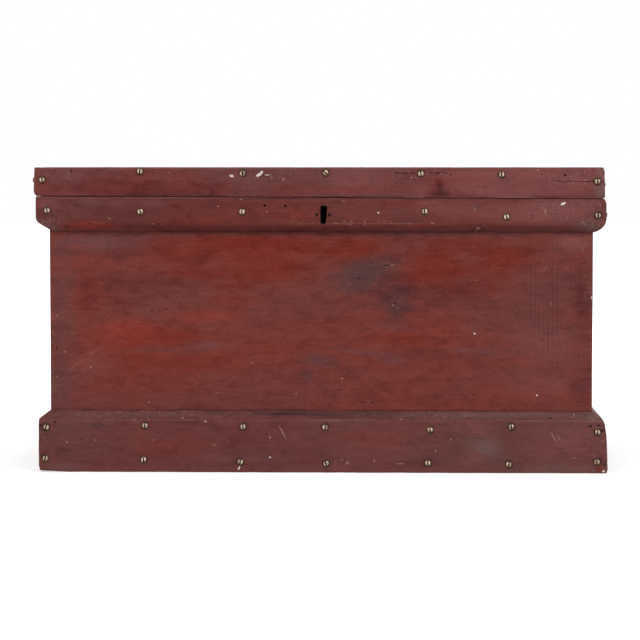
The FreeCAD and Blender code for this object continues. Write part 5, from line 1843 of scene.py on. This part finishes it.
LID_TOP_PAINT = OldPaint(
    "old_red_paint_lid_top", Axis.X, (120, 60, 54), (112, 68, 64), (138, 60, 48), (2.4, 0.2, 3.3), 0.5,
    patches=patches_in(
        (-60, -40, 397, 190, 70, 30, Tone.MAUVE, 0.6), (190, 70, 397, 110, 50, 30, Tone.RED, 0.6),
        (-240, 110, 397, 80, 40, 30, Tone.BRIGHT, 0.5), (-250, -110, 397, 70, 30, 30, Tone.SMOKE, 0.6),
        (60, 140, 397, 110, 24, 30, Tone.MAROON, 0.5), (240, -80, 397, 70, 46, 30, Tone.MAUVE, 0.6),
        (150, -150, 397, 150, 20, 30, Tone.WORN, 0.35), (-60, 150, 397, 90, 20, 30, Tone.ORANGE, 0.4),
    ),
    scratches=spots_in(
        (-120, -60, 397, 90, 0.9, 20), (40, 30, 397, 50, 0.8, 20), (230, -70, 397, 0.8, 36, 20),
        (-280, 20, 397, 0.9, 50, 20), (120, 120, 397, 60, 0.7, 20),
    ),
    specks=spots_in(
        (-200, -150, 397, 2.0, 1.6, 20), (260, 20, 397, 1.6, 1.4, 20), (-40, 140, 397, 1.6, 1.4, 20),
        (80, -20, 397, 1.4, 1.4, 20), (-300, 90, 397, 1.3, 1.6, 20), (170, 150, 397, 1.5, 1.3, 20),
    ),
    chips=spots_in((30, -172, 397, 4.0, 2.2, 20), (310, -160, 397, 3.0, 2.4, 20)),
    pits=spots_in((90, -100, 397, 2.2, 1.6, 20), (-160, 70, 397, 1.6, 1.6, 20)),
    arrises=spots_in((0, -185, 397.3, ENDLESS, 3.0, 6), (0, 184, 397.3, ENDLESS, 3.0, 3)),
    arris_wear_and_highlight=0.6,
)

BAND_FRONT_PAINT = OldPaint(
    "old_red_paint_band_front",
    ground=(119, 58, 53),
    dull=(112, 62, 58),
    bright=(127, 51, 43),
    cloud_offset=(5.1, 0.9, 2.6),
    bright_share=0.35,
    patches=patches_at(
        (-200, 338, 130, 26, Tone.MAROON, 0.45), (-296, 350, 18, 7, Tone.MAUVE, 0.7),
        (-218, 350, 24, 6, Tone.MAUVE, 0.5), (-258, 335, 44, 16, Tone.MAROON, 0.6),
        (-354, 350, 16, 10, Tone.ROSE, 0.6), (-358, 320, 16, 12, Tone.WORN, 0.6),
        (225, 331, 70, 9, Tone.ROSE, 0.35), (349, 350, 20, 9, Tone.ROSE, 0.6),
        (-262, 351, 20, 6, Tone.MAUVE, 0.5), (138, 350, 26, 7, Tone.ROSE, 0.6),
        (201, 345, 8, 7, Tone.SMOKE, 0.6), (-292, 326, 30, 8, Tone.MAROON, 0.6),
        (-30, 334, 40, 13, Tone.RED, 0.5), (6, 330, 15, 14, Tone.MAROON, 0.3),
        (200, 343, 100, 14, Tone.ROSE, 0.5), (300, 340, 70, 22, Tone.ROSE, 0.85),
        (-150, 330, 60, 7, Tone.RED, 0.4), (92, 350, 60, 5, Tone.RED, 0.5),
    ) + patches_in(
        # On the slope: the orange patch at the left end is a painted highlight; a red line runs along the
        # shoulder and darker tones along the foot.
        (-300, -197, 321, 44, 14, 8, Tone.ORANGE, 0.6), (352, -195, 322, 26, 14, 14, Tone.WORN, 0.5),
        (100, -195, 324, 160, 14, 2, Tone.RED, 0.7), (200, -190, 316, 180, 14, 4, Tone.SMOKE, 0.5),
        (-60, -190, 316, 180, 14, 4, Tone.MAROON, 0.3),
    ),
    # Painted shade along the seam under the lid and at the foot of the slope, where it meets the wall.
    grime_and_crease_shade=spots_in((0, -200, 357.8, 700, 4, 2.0), (0, -186, 314, 700, 6, 2.6)),
    # Rings of dirt and painted shade round the screws, the keyhole and its pin holes.
    dirt_and_shade_rings=screw_dirt_and_shade_rings(
        BAND_SCREWS, (0, -192, 312.8), Facing.FRONT,
    ) + spots_in(
        (-4.6, -200, 335.8, 2.8, 30, 2.8), (11.6, -200, 335.8, 2.8, 30, 2.8),
        (3.6, -200, 335.8, 4.6, 30, 13.0),
    ),
    flaked=marks_at(
        (356, 332, 26, 24), (290, 340, 44, 14), (204, 319, 12, 6), (60, 325, 120, 4), (-356, 326, 24, 16),
    ),
    dusting=0.85,
    pits=marks_at(
        (-300, 324, 3, 0.8), (-72.2, 348.0, 2.4, 2.0), (-45.5, 347.3, 2.4, 2.0), (-330, 321, 3, 1.0),
        (146, 336, 1.0, 0.8), (-4.6, 335.8, 2.0, 1.9), (11.6, 335.6, 2.0, 2.0),
    ),
    specks=marks_at(
        (-132.8, 346.9, 1.7, 1.2), (-274, 331, 2.0, 1.2), (-217, 324, 1.6, 1.0), (204.6, 318.2, 3.2, 1.6),
        (291, 340, 1.6, 3.0), (200, 343, 1.6, 1.4), (-69, 340, 1.4, 1.2), (340, 326, 1.8, 1.0),
        (30, 354, 2.0, 0.8, 30), (20, 325, 2.4, 0.8), (145, 325, 3.0, 0.7), (-103, 356, 2.4, 0.8),
    ),
    chips=marks_at((313.9, 350.5, 4.2, 1.8, -24), (75.1, 338.7, 1.2, 1.3)),
    scratches=marks_at((290, 336, 9, 0.6, 24), (-250, 318, 30, 0.6, 0)),
    # The arris along the slope's shoulder is a painted highlight as well as wear.
    arrises=spots_in(
        (0, -200, 357.8, ENDLESS, 1.6, 1.6), (75, -199.2, 324.6, 230, 2.2, 1.7),
        (370, -200, 0, 2.2, 2.2, ENDLESS), (-370, -200, 0, 2.2, 2.2, ENDLESS),
    ),
    arris_wear_and_highlight=0.3,
)

BAND_SIDE_PAINT = OldPaint(
    "old_red_paint_band_sides", Axis.Y, (118, 60, 55), (106, 62, 59), (128, 54, 46), (0.2, 4.4, 3.8), 0.35,
    dirt_and_shade_rings=side_dirt_and_shade_rings(BAND_SIDE_SCREWS, SIDE_LENGTH, 362.0, 0.0, 312.8),
    chips=spots_in((-370, -100, 345, 20, 2.4, 1.4), (370, 90, 336, 20, 2.0, 1.4)),
    arrises=(*side_lines(-370, 324, 357.8, 2.0), *side_lines(370, 324, 357.8, 2.0)),
)

BAND_BACK_PAINT = OldPaint(
    "old_red_paint_band_back", Axis.X, (112, 57, 52), (101, 60, 56), (122, 53, 45), (2.9, 3.3, 0.6), 0.3,
    dirt_and_shade_rings=screw_dirt_and_shade_rings(BAND_SCREWS, (0, 192, 312.8), Facing.BACK),
    arrises=spots_in((0, 200, 357.8, ENDLESS, 2, 2), (0, 199.4, 324.4, ENDLESS, 2.2, 2.4)),
)

PLINTH_FRONT_PAINT = OldPaint(
    "old_red_paint_plinth_front",
    ground=(118, 63, 60),
    dull=(114, 68, 65),
    bright=(123, 58, 52),
    cloud_offset=(1.9, 6.1, 0.3),
    bright_share=0.35,
    patches=patches_at(
        (-292, 61, 16, 8, Tone.SMOKE, 0.85), (-200, 30, 90, 22, Tone.RED, 0.45),
        (-330, 30, 34, 26, Tone.DULL, 0.6), (214, 35, 40, 26, Tone.WORN, 0.4, 20),
        (216, 33, 22, 13, Tone.WORN, 0.5, 20), (80, 34, 90, 36, Tone.ROSE, 0.3),
        (320, 38, 70, 40, Tone.ROSE, 0.5), (0, 4, 800, 7, Tone.ROSE, 0.35),
        (320, 6, 90, 9, Tone.WORN, 0.45), (197, 18, 26, 14, Tone.ROSE, 0.5),
        (-340, 6, 34, 8, Tone.WORN, 0.4), (197, 59, 30, 10, Tone.ROSE, 0.5),
        (60, 46, 60, 18, Tone.RED, 0.35), (364, 6, 7, 7, Tone.BRIGHT, 0.7),
        (-100, 20, 90, 8, Tone.MAUVE, 0.5), (150, 20, 50, 14, Tone.DULL, 0.5),
        (-190, 66, 70, 6, Tone.MAROON, 0.5),
    ) + patches_in(
        (-230, -190, 75, 160, 9, 7, Tone.WORN, 0.4), (-20, -190, 76, 150, 9, 6, Tone.SMOKE, 0.75),
        (225, -190, 75, 150, 9, 7, Tone.WORN, 0.55), (355, -192, 73, 24, 12, 9, Tone.WORN, 0.65),
    ),
    # Painted shade in the crease where the plinth meets the wall, and a darker spot on the slope.
    grime_and_crease_shade=spots_in((0, -184, 80.5, 900, 2.4, 3.2), (-40, -189, 75, 60, 5, 4)),
    dirt_and_shade_rings=screw_dirt_and_shade_rings(PLINTH_SCREWS, (0, -192, 0), Facing.FRONT, 6.0),
    pits=marks_at(
        (-346.3, 65.1, 1.9, 1.8), (350.3, 61, 2.2, 1.8), (361, 62.3, 2.6, 1.2), (-366.5, 60, 2.2, 1.8),
        (300, 72, 2.2, 0.8), (-176, 8, 1.4, 1.0), (-70, 50, 1.8, 0.8), (150, 48, 1.4, 1.0),
        (-312, 43, 1.4, 0.9), (367, 55, 4.0, 0.8), (369, 12, 1.4, 2.6), (352, 34, 1.0, 0.8),
    ),
    specks=marks_at(
        (-66, 46, 1.2, 2.0), (-218, 42, 1.4, 1.3), (-294, 42, 1.3, 1.2), (-120, 40, 1.1, 1.0),
        (330, 20, 1.2, 1.2), (-138, 36, 1.6, 0.8), (150, 29, 1.8, 1.5), (-150, 66.5, 2.4, 2.2),
        (-180, 71, 1.6, 1.2), (105, 70, 2.4, 1.0), (330, 76, 2.0, 1.0), (-331, 39, 1.8, 1.2),
        (170, 44, 2.0, 1.0, 30), (35, 13, 2.3, 1.9), (70, 16, 2.0, 1.6), (104, 12, 7, 0.8),
        (-49.5, 53, 0.8, 13, -28), (303, 48, 0.7, 9, -30), (310, 46, 0.6, 5, -30),
    ),
    chips=marks_at((-65.8, 19.9, 1.5, 1.2, 20), (-106, 6, 1.3, 3.2, 24), (368, 3, 2.0, 1.4)),
    scratches=marks_at((-108, 12, 0.9, 7, -30), (178, 44, 5, 0.8, 40)),
    # The arris along the slope's shoulder is a painted highlight as well as wear.
    arrises=spots_in(
        (0, -199.0, 68.6, ENDLESS, 2.2, 2.2), (0, -200, 0, ENDLESS, 2.0, 2.0),
        (372.5, -200, 0, 2.4, 2.4, ENDLESS), (-368, -200, 0, 2.0, 2.0, ENDLESS),
    ),
    arris_wear_and_highlight=0.36,
    flaked=marks_at(
        (350, 72, 40, 8), (-230, 74, 160, 8), (-364, 40, 12, 44), (364, 30, 14, 40), (160, 75, 110, 7),
        (30, 12, 14, 8),
    ),
    dusting=0.85,
)

PLINTH_SIDE_PAINT = OldPaint(
    "old_red_paint_plinth_sides", Axis.Y, (116, 64, 59), (106, 66, 63), (126, 60, 52), (6.2, 1.1, 0.9), 0.35,
    patches=patches_in(
        (-362, 0, 78, 12, 150, 7, Tone.WORN, 0.5), (362, 40, 78, 12, 150, 7, Tone.WORN, 0.5),
        (370, -90, 40, 30, 60, 18, Tone.RED, 0.4), (-370, 70, 30, 30, 70, 18, Tone.RED, 0.4),
    ),
    dirt_and_shade_rings=side_dirt_and_shade_rings(PLINTH_SIDE_SCREWS, SIDE_LENGTH, 362.0, 0.0, 0.0),
    chips=spots_in((-370, 60, 30, 20, 2.2, 1.6), (370, -70, 40, 20, 1.8, 1.8), (370, 110, 12, 20, 3, 2)),
    arrises=(*side_lines(-369.2, 0, 70.5), *side_lines(369.2, 0, 70.5)),
)

PLINTH_BACK_PAINT = OldPaint(
    "old_red_paint_plinth_back", Axis.X, (110, 61, 56), (100, 64, 61), (120, 58, 50), (0.4, 2.8, 5.0), 0.3,
    patches=patches_in(
        (-200, 192, 78, 120, 12, 7, Tone.WORN, 0.5), (180, 192, 78, 120, 12, 7, Tone.SMOKE, 0.6),
        (60, 200, 40, 110, 30, 16, Tone.RED, 0.4),
    ),
    dirt_and_shade_rings=screw_dirt_and_shade_rings(PLINTH_SCREWS, (0, 192, 0), Facing.BACK),
    arrises=spots_in((0, 199.2, 70.5, ENDLESS, 2.4, 2.4), (0, 200, 0, ENDLESS, 2.4, 2.4)),
)

CASE_PINE = BarePine("bare_pine_case_long_walls", Axis.X)
END_PINE = BarePine("bare_pine_case_end_walls", Axis.Y, offset=(2.0, 1.0, 4.0))
LID_PINE = BarePine(
    "bare_pine_lid_underside", Axis.X, (178, 142, 102), (126, 86, 56), (88, 62, 46), (5.0, 3.0, 1.0),
)
RAIL_PINE = BarePine("bare_pine_rail_backs", Axis.X, offset=(1.0, 7.0, 2.0))


@dataclass
class Case:
    """The four walls, the bottom, the band and the plinth."""

    screw: Piece
    short: Piece
    half_depth: float = 184.0
    half_length: float = 354.0
    wall: float = 18.0
    base: float = 20.0
    bottom_boards: int = 5
    keyhole: Keyhole = field(default_factory=Keyhole)

    def build_walls(self) -> None:
        """Makes the four dovetailed walls, with the lock's mortise and the hinges' seats."""
        y, x = self.half_depth - self.wall / 2, self.half_length - self.wall / 2
        lock = (
            ((-33.7, -168.0, 317.0), (42.3, -160.0, 380.0)),
            ((-27.7, -179.5, 323.0), (36.3, -167.0, 380.0)),
            ((-33.7, -181.0, 373.0), (42.3, -167.0, 380.0)),
        )
        Wall(
            "painted_front_board", "front_board", Facing.FRONT, Joint.TAILS, FRONT_PAINT, CASE_PINE,
            self.half_length * 2, (0, -y, self.base), mortises=lock,
        ).build([self.keyhole.cutter(-190.0, -176.0)])
        Wall(
            "painted_back_board", "back_board", Facing.BACK, Joint.TAILS, BACK_PAINT, CASE_PINE,
            self.half_length * 2, (0, y, self.base), mortises=hinge_seats(373.0, 380.0),
        ).build()
        for facing, sign, side in SIDES:
            Wall(
                f"painted_{side}_end_board", f"{side}_end_board", facing, Joint.PINS, SIDE_PAINT, END_PINE,
                self.half_depth * 2, (x * sign, 0, self.base),
            ).build()

    def build_bottom(self) -> None:
        """Makes the bottom boards, each from a plank of its own shade."""
        for number in range(1, self.bottom_boards + 1):
            light, offset = (190 - number * 3, 152, 108 + number * 2), (number * 1.7, number * 0.9, 0.5)
            pine = BarePine(f"bare_pine_bottom_{number}", Axis.Y, light, (138, 96, 62), (96, 70, 50), offset)
            BottomBoard(number, pine, self.bottom_boards).build()

    def build_band(self) -> None:
        """Makes the four rails of the upper band, whose top falls a little to the right."""
        common = {
            "thickness": 16.0, "height": 45.0, "grow": (0.0, 0.0, 0.0, 2.0), "moulding": Moulding.FOOT,
            "body": "case", "slot": "band_paint",
        }
        front_nose = Nose(11.0, 11.0, 11.0)
        left_nose, right_nose = Nose(14.6, 10.0, 9.0), Nose(5.5, 5.5, 19.0)
        Rail(
            "painted_upper_band_front", "upper_band_front", Facing.FRONT, paint=BAND_FRONT_PAINT,
            length=BAND_LENGTH, middle=(0, -192.0, 312.8), nose=front_nose, end_noses=(left_nose, right_nose),
            screws=BAND_SCREWS, end_screws=screws_at((368.7, 22.9, 40)), keyhole=self.keyhole,
            trims=(
                ((0, 0, 45.25), (SEAM_FALL, 0, 1)), ((-369.2, 0, 46.6), (-1, 0, 1.2)),
                ((367.8, 0, 43.3), (1, 0, 1.1)), ((369.3, 0, 39.4), (1, 0, 0.35)),
            ),
            holes=((-72.2, 35.2, 1.7), (-45.5, 34.5, 1.7), (-4.6, 23.0, 1.3), (11.6, 23.0, 1.3)),
            gouges=(
                ((313.9, -8.2, 37.7), (4.2, 0.8, 1.8), -24), ((204.0, -7.0, 9.0), (3.0, 1.2, 1.4), 0),
                ((-288.0, -8.0, 14.0), (2.6, 0.8, 1.2), 10),
            ),
            **common,
        ).build(self.screw, self.short)
        Rail(
            "painted_upper_band_back", "upper_band_back", Facing.BACK, paint=BAND_BACK_PAINT,
            length=BAND_LENGTH, middle=(0, 192.0, 312.8), nose=front_nose, end_noses=(right_nose, left_nose),
            screws=BAND_SCREWS, trims=(((0, 0, 45.25), (-SEAM_FALL, 0, 1)),), **common,
        ).build(self.screw)
        for (facing, sign, side), nose in zip(SIDES, (left_nose, right_nose)):
            x = 362.0 * sign
            Rail(
                f"painted_upper_band_{side}", f"upper_band_{side}", facing, paint=BAND_SIDE_PAINT,
                length=SIDE_LENGTH, middle=(x, 0, 312.8), cuts=SIDE_CUTS, nose=nose,
                trims=(((0, 0, 45.25 - x * SEAM_FALL), (0, 0, 1)), *BAND_CORNERS[sign]),
                screws=from_front(BAND_SIDE_SCREWS, SIDE_LENGTH, facing), **common,
            ).build(self.screw)

    def build_plinth(self) -> None:
        """Makes the four rails of the plinth, whose left end is planed back a little."""
        common = {
            "height": 79.5, "moulding": Moulding.HEAD, "body": "case", "slot": "plinth_paint",
            "nose": Nose(68.0, 11.5, 9.0),
        }
        left_nose, right_nose = Nose(68.0, 11.5, 11.0), Nose(67.0, 12.5, 13.0)
        Rail(
            "painted_plinth_front", "plinth_front", Facing.FRONT, paint=PLINTH_FRONT_PAINT,
            length=BAND_LENGTH, thickness=16.0, middle=(0, -192.0, 0), end_noses=(left_nose, right_nose),
            grow=(0.0, 3.4, 0.0, 0.0), screws=PLINTH_SCREWS, end_screws=screws_at((370.4, 27.9, 0)),
            holes=((-346.3, 66.0, 1.2), (351.3, 62.6, 1.3), (362.0, 63.9, 1.1)),
            trims=(
                ((-367.9, 0, 60.0), (-1, 0, 0.008)), ((-330.0, 0, 0.0), (-0.055, 0, -1)),
                ((-366.0, 0, 1.4), (-1, 0, -0.9)), ((-367.5, 0, 5.0), (-1, 0, -0.28)),
                ((371.4, 0, 68.0), (1, 0, 0.035)), ((372.8, 0, 3.6), (1, 0, -0.3)),
                ((370.6, 0, 0.0), (1, 0, -1.0)), ((352.0, 0, 0.0), (0.02, 0, -1)),
            ),
            cracks=(((352.0, -8.0, 56.6), (373.0, -8.0, 57.0), 1.2),),
            gouges=(
                ((-365.6, -8.0, 61.0), (1.8, 1.2, 1.5), 0), ((-103.0, -8.2, 4.6), (1.3, 0.8, 4.4), 24),
                ((-200.0, -8.4, 0.2), (6.0, 1.4, 1.4), 0), ((120.0, -8.2, 0.0), (8.0, 1.2, 1.2), 0),
                ((372.6, -7.0, 13.0), (1.2, 3.0, 2.6), 0),
            ),
            **common,
        ).build(self.screw, self.short)
        Rail(
            "painted_plinth_back", "plinth_back", Facing.BACK, paint=PLINTH_BACK_PAINT,
            length=BAND_LENGTH, thickness=16.0, middle=(0, 192.0, 0), end_noses=(right_nose, left_nose),
            trims=(((368.0, 0, 40.0), (1, 0, 0)),), screws=PLINTH_SCREWS, **common,
        ).build(self.screw)
        for (facing, _, side), middle, thickness in zip(SIDES, (-361.0, 362.0), (14.0, 16.0)):
            Rail(
                f"painted_plinth_{side}", f"plinth_{side}", facing, paint=PLINTH_SIDE_PAINT,
                length=SIDE_LENGTH, thickness=thickness, middle=(middle, 0, 0), cuts=SIDE_CUTS,
                screws=from_front(PLINTH_SIDE_SCREWS, SIDE_LENGTH, facing), **common,
            ).build(self.screw)


@dataclass
class Lid:
    """The lid's boards and the rim round three of its sides."""

    screw: Piece
    short: Piece
    shift: float = -1.5
    base: float = 358.6
    joints: tuple[float, float, float, float] = (-185.0, -52.16, 62.23, 184.0)

    def build_boards(self) -> None:
        """Makes the three boards, with the seats of the strike plate and the hinges."""
        strike = (((-32.7, -179.5, 370.0), (41.3, -166.5, 377.3)),)
        seats = (strike, (), hinge_seats(370.0, 377.3))
        names = ("front", "middle", "back")
        for name, front, back, mortises in zip(names, self.joints, self.joints[1:], seats):
            LidBoard(f"painted_lid_board_{name}", f"lid_board_{name}", front, back, mortises).build()

    def build_rim(self) -> None:
        """Makes the three rails of the rim, whose foot falls a little to the right."""
        common = {"height": 38.7, "body": "lid", "slot": "lid_paint", "arris": 1.6}
        Rail(
            "painted_lid_rim_front", "lid_rim_front", Facing.FRONT, paint=RIM_FRONT_PAINT, length=BAND_LENGTH,
            thickness=15.0, middle=(self.shift, -192.5, self.base), grow=(1.6, 0.0, 2.0, 0.0),
            screws=RIM_SCREWS, end_screws=screws_at((-370.4, 22.2, 0), (367.7, 16.2, 20)),
            holes=((317.5, 28.4, 1.4), (-321.9, 34.1, 1.2)),
            trims=(
                ((0, 0, -0.2), (-SEAM_FALL, 0, -1)), ((-371.2, 0, 14.0), (-1, 0, 0.05)),
                ((-369.2, 0, 3.2), (-1, 0, -0.9)), ((-371.0, 0, 6.4), (-1, 0, -0.25)),
                ((-369.4, 0, 38.2), (-1, 0, 1.0)), ((369.0, 0, 30), (1, 0, 0.015)),
                ((366.6, 0, 38.7), (1, 0, 0.9)), ((368.4, 0, 34.6), (1, 0, 0.3)),
                ((368.4, 0, -0.6), (1, 0, -1)),
            ),
            cracks=(((298.0, -7.5, 21.0), (371.0, -7.5, 20.4), 1.0),),
            gouges=(
                ((-114.0, -7.7, 27.6), (3.0, 0.7, 1.4), 12), ((-78.0, -7.7, 29.2), (4.4, 0.9, 2.3), -24),
                ((250.0, -7.4, 39.2), (7.0, 1.6, 1.2), 0), ((-20.0, -7.4, 39.1), (9.0, 1.4, 0.9), 0),
                ((-212.0, -7.6, 38.9), (4.0, 1.2, 0.9), 0), ((100.0, -7.6, 31.2), (2.0, 0.8, 0.8), 0),
                ((121.0, -7.6, 31.2), (3.0, 0.8, 0.9), 0), ((154.0, -7.6, 31.4), (3.0, 0.8, 0.8), 0),
            ),
            **common,
        ).build(self.screw, self.short)
        for facing, sign, side in SIDES:
            x = 363.0 * sign
            Rail(
                f"painted_lid_rim_{side}", f"lid_rim_{side}", facing, paint=RIM_SIDE_PAINT,
                length=RIM_SIDE_LENGTH, thickness=14.0, middle=(x + self.shift, -0.5, self.base),
                cuts=SIDE_CUTS, grow=(0.0, 0.0, 2.0, 0.0),
                trims=(((0, 0, -0.2 - x * SEAM_FALL), (0, 0, -1)), *RIM_CORNERS[sign]),
                screws=from_front(RIM_SIDE_SCREWS, RIM_SIDE_LENGTH, facing), **common,
            ).build(self.screw)


@dataclass
class Ironmongery:
    """The hinges, the lock, the strike plate and the nails, which keep their solids."""

    steel: tuple[str, ...] = ("lock_bolt", "lock_bolt_spring", "lock_key_pin", "lock_guide_pins")

    def dress(self) -> None:
        """Gives each solid that stays its own metal."""
        for name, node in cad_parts.items():
            finish = self.metal_of(name)
            if finish is not None:
                node.data.materials.clear()
                node.data.materials.append(finish.material())
                take(node)
                LOG.info("%s: dressed in %s", name, finish.name)

    def metal_of(self, name: str) -> OldMetal | None:
        """The metal of a solid.

        Args:
            name: The node's name.

        Returns:
            The metal, or nothing where a new piece replaces the solid.
        """
        if "hinge" in name:
            return BRASS_HEAD if "screws" in name else BRASS_HINGE
        if name in self.steel:
            return WORN_STEEL
        if name in ("lock_screws", "strike_screws"):
            return BRASS_HEAD
        if name == "lock_cap":
            return LOCK_DARK
        if name.startswith(("lock_", "strike_")):
            return BRASS_PLATE
        return FORGED_IRON if name == "bottom_nails" else None


@dataclass
class Studio:
    """A pale floor, soft lamps and the camera."""

    eye: Triple = (0.0859, -3.4988, 0.39905)
    pitch: float = 3.4625
    yaw: float = 1.5
    lens: float = 143.19
    sensor: float = 36.0
    sight: float = 100.0
    floor_size: float = 30.0
    floor_shade: float = 0.8
    floor_glow: float = 0.45
    glow_from: float = 0.5
    glow_full: float = 1.6
    room_light: float = 0.42
    aim: Triple = (0.0, 0.0, 0.2)

    def white_rays(self, tree: bpy.types.NodeTree) -> Socket:
        """One for the rays that see the white room: the camera's own and those off metal and glass.

        Args:
            tree: The tree that asks.

        Returns:
            The output that tells it.
        """
        path = add_node(tree, "LightPath").outputs
        found = path["Is Camera Ray"]
        for name in ("Is Glossy Ray", "Is Transmission Ray"):
            found = add_node(tree, "Math", {0: found, 1: path[name]}, operation="MAXIMUM").outputs[0]
        return found

    def lay_floor(self) -> None:
        """Lays a pale floor that goes white away from the trunk's shadow."""
        lay_down_tools()
        bpy.ops.mesh.primitive_plane_add(size=self.floor_size, location=(0, 0, 0))
        floor = bpy.context.object
        floor.name = "studio_floor"
        material = bpy.data.materials.new("pale_studio_floor")
        material.use_nodes = True
        tree = material.node_tree
        tree.nodes.clear()
        place = add_node(tree, "TexCoord").outputs["Object"]
        reach = add_node(tree, "VectorMath", {0: place}, operation="LENGTH").outputs["Value"]
        inputs = {
            "Value": reach, "From Min": self.glow_from, "From Max": self.glow_full, "To Min": self.floor_glow,
            "To Max": 1.0,
        }
        rise = add_node(tree, "MapRange", inputs, interpolation_type="SMOOTHSTEP").outputs[0]
        share = add_node(tree, "Math", {0: self.white_rays(tree), 1: rise}, operation="MULTIPLY").outputs[0]
        matt = add_node(tree, "BsdfDiffuse", {"Color": (*[self.floor_shade] * 3, 1.0)})
        glow = add_node(tree, "Emission", {"Color": WHITE, "Strength": share})
        both = add_node(tree, "AddShader", {0: matt.outputs[0], 1: glow.outputs[0]})
        add_node(tree, "OutputMaterial", {0: both.outputs[0]})
        floor.data.materials.append(material)

    def light_world(self) -> None:
        """Lights the room softly and shows it white behind the trunk."""
        world = bpy.data.worlds.new("studio_room")
        bpy.context.scene.world = world
        world.use_nodes = True
        tree = world.node_tree
        tree.nodes.clear()
        seen = add_node(tree, "Background", {"Color": WHITE}).outputs[0]
        room = add_node(tree, "Background", {"Color": WHITE, "Strength": self.room_light}).outputs[0]
        mixer = add_node(tree, "MixShader", {0: self.white_rays(tree), 1: room, 2: seen})
        add_node(tree, "OutputWorld", {0: mixer.outputs[0]})

    def hang_lamps(self) -> None:
        """Hangs large soft lamps in front, above, at the sides and behind."""
        for name, place, size, watts in (
            ("key", (-1.7, -2.7, 1.9), 1.9, 38.0),
            ("fill", (2.1, -2.5, 1.3), 1.9, 30.0),
            ("top", (0.0, -0.3, 2.7), 2.0, 26.0),
            ("back", (0.6, 2.9, 1.9), 1.9, 34.0),
        ):
            lamp = bpy.data.lights.new(name, "AREA")
            lamp.shape = "SQUARE"
            lamp.size = size
            lamp.energy = watts
            holder = bpy.data.objects.new(name, lamp)
            bpy.context.scene.collection.objects.link(holder)
            holder.location = place
            holder.rotation_euler = (Vector(self.aim) - Vector(place)).to_track_quat("-Z", "Y").to_euler()

    def stand_camera(self) -> None:
        """Stands the camera at the photograph's place."""
        camera = bpy.data.cameras.new("camera")
        camera.lens = self.lens
        camera.sensor_width = self.sensor
        camera.clip_end = self.sight
        holder = bpy.data.objects.new("camera", camera)
        bpy.context.scene.collection.objects.link(holder)
        holder.location = self.eye
        holder.rotation_euler = (math.radians(90 - self.pitch), 0.0, math.radians(self.yaw))
        bpy.context.scene.camera = holder

    def build(self) -> None:
        """Sets up the whole studio."""
        self.lay_floor()
        self.light_world()
        self.hang_lamps()
        self.stand_camera()
        bpy.context.scene.view_settings.view_transform = "Standard"


def main() -> None:
    """Builds the trunk's pieces in order, then the studio."""
    logging.basicConfig(level=logging.INFO, format="%(message)s")
    screw = RoundScrew().build()
    short = RoundScrew(plain=1.0, length=9.5).build()
    case = Case(screw, short)
    case.build_walls()
    case.build_bottom()
    case.build_band()
    case.build_plinth()
    lid = Lid(screw, short)
    lid.build_boards()
    lid.build_rim()
    bpy.data.objects.remove(screw)
    bpy.data.objects.remove(short)
    Ironmongery().dress()
    wipe_chalk()
    Studio().build()
    lay_down_tools()


if __name__ == "__main__":
    main()
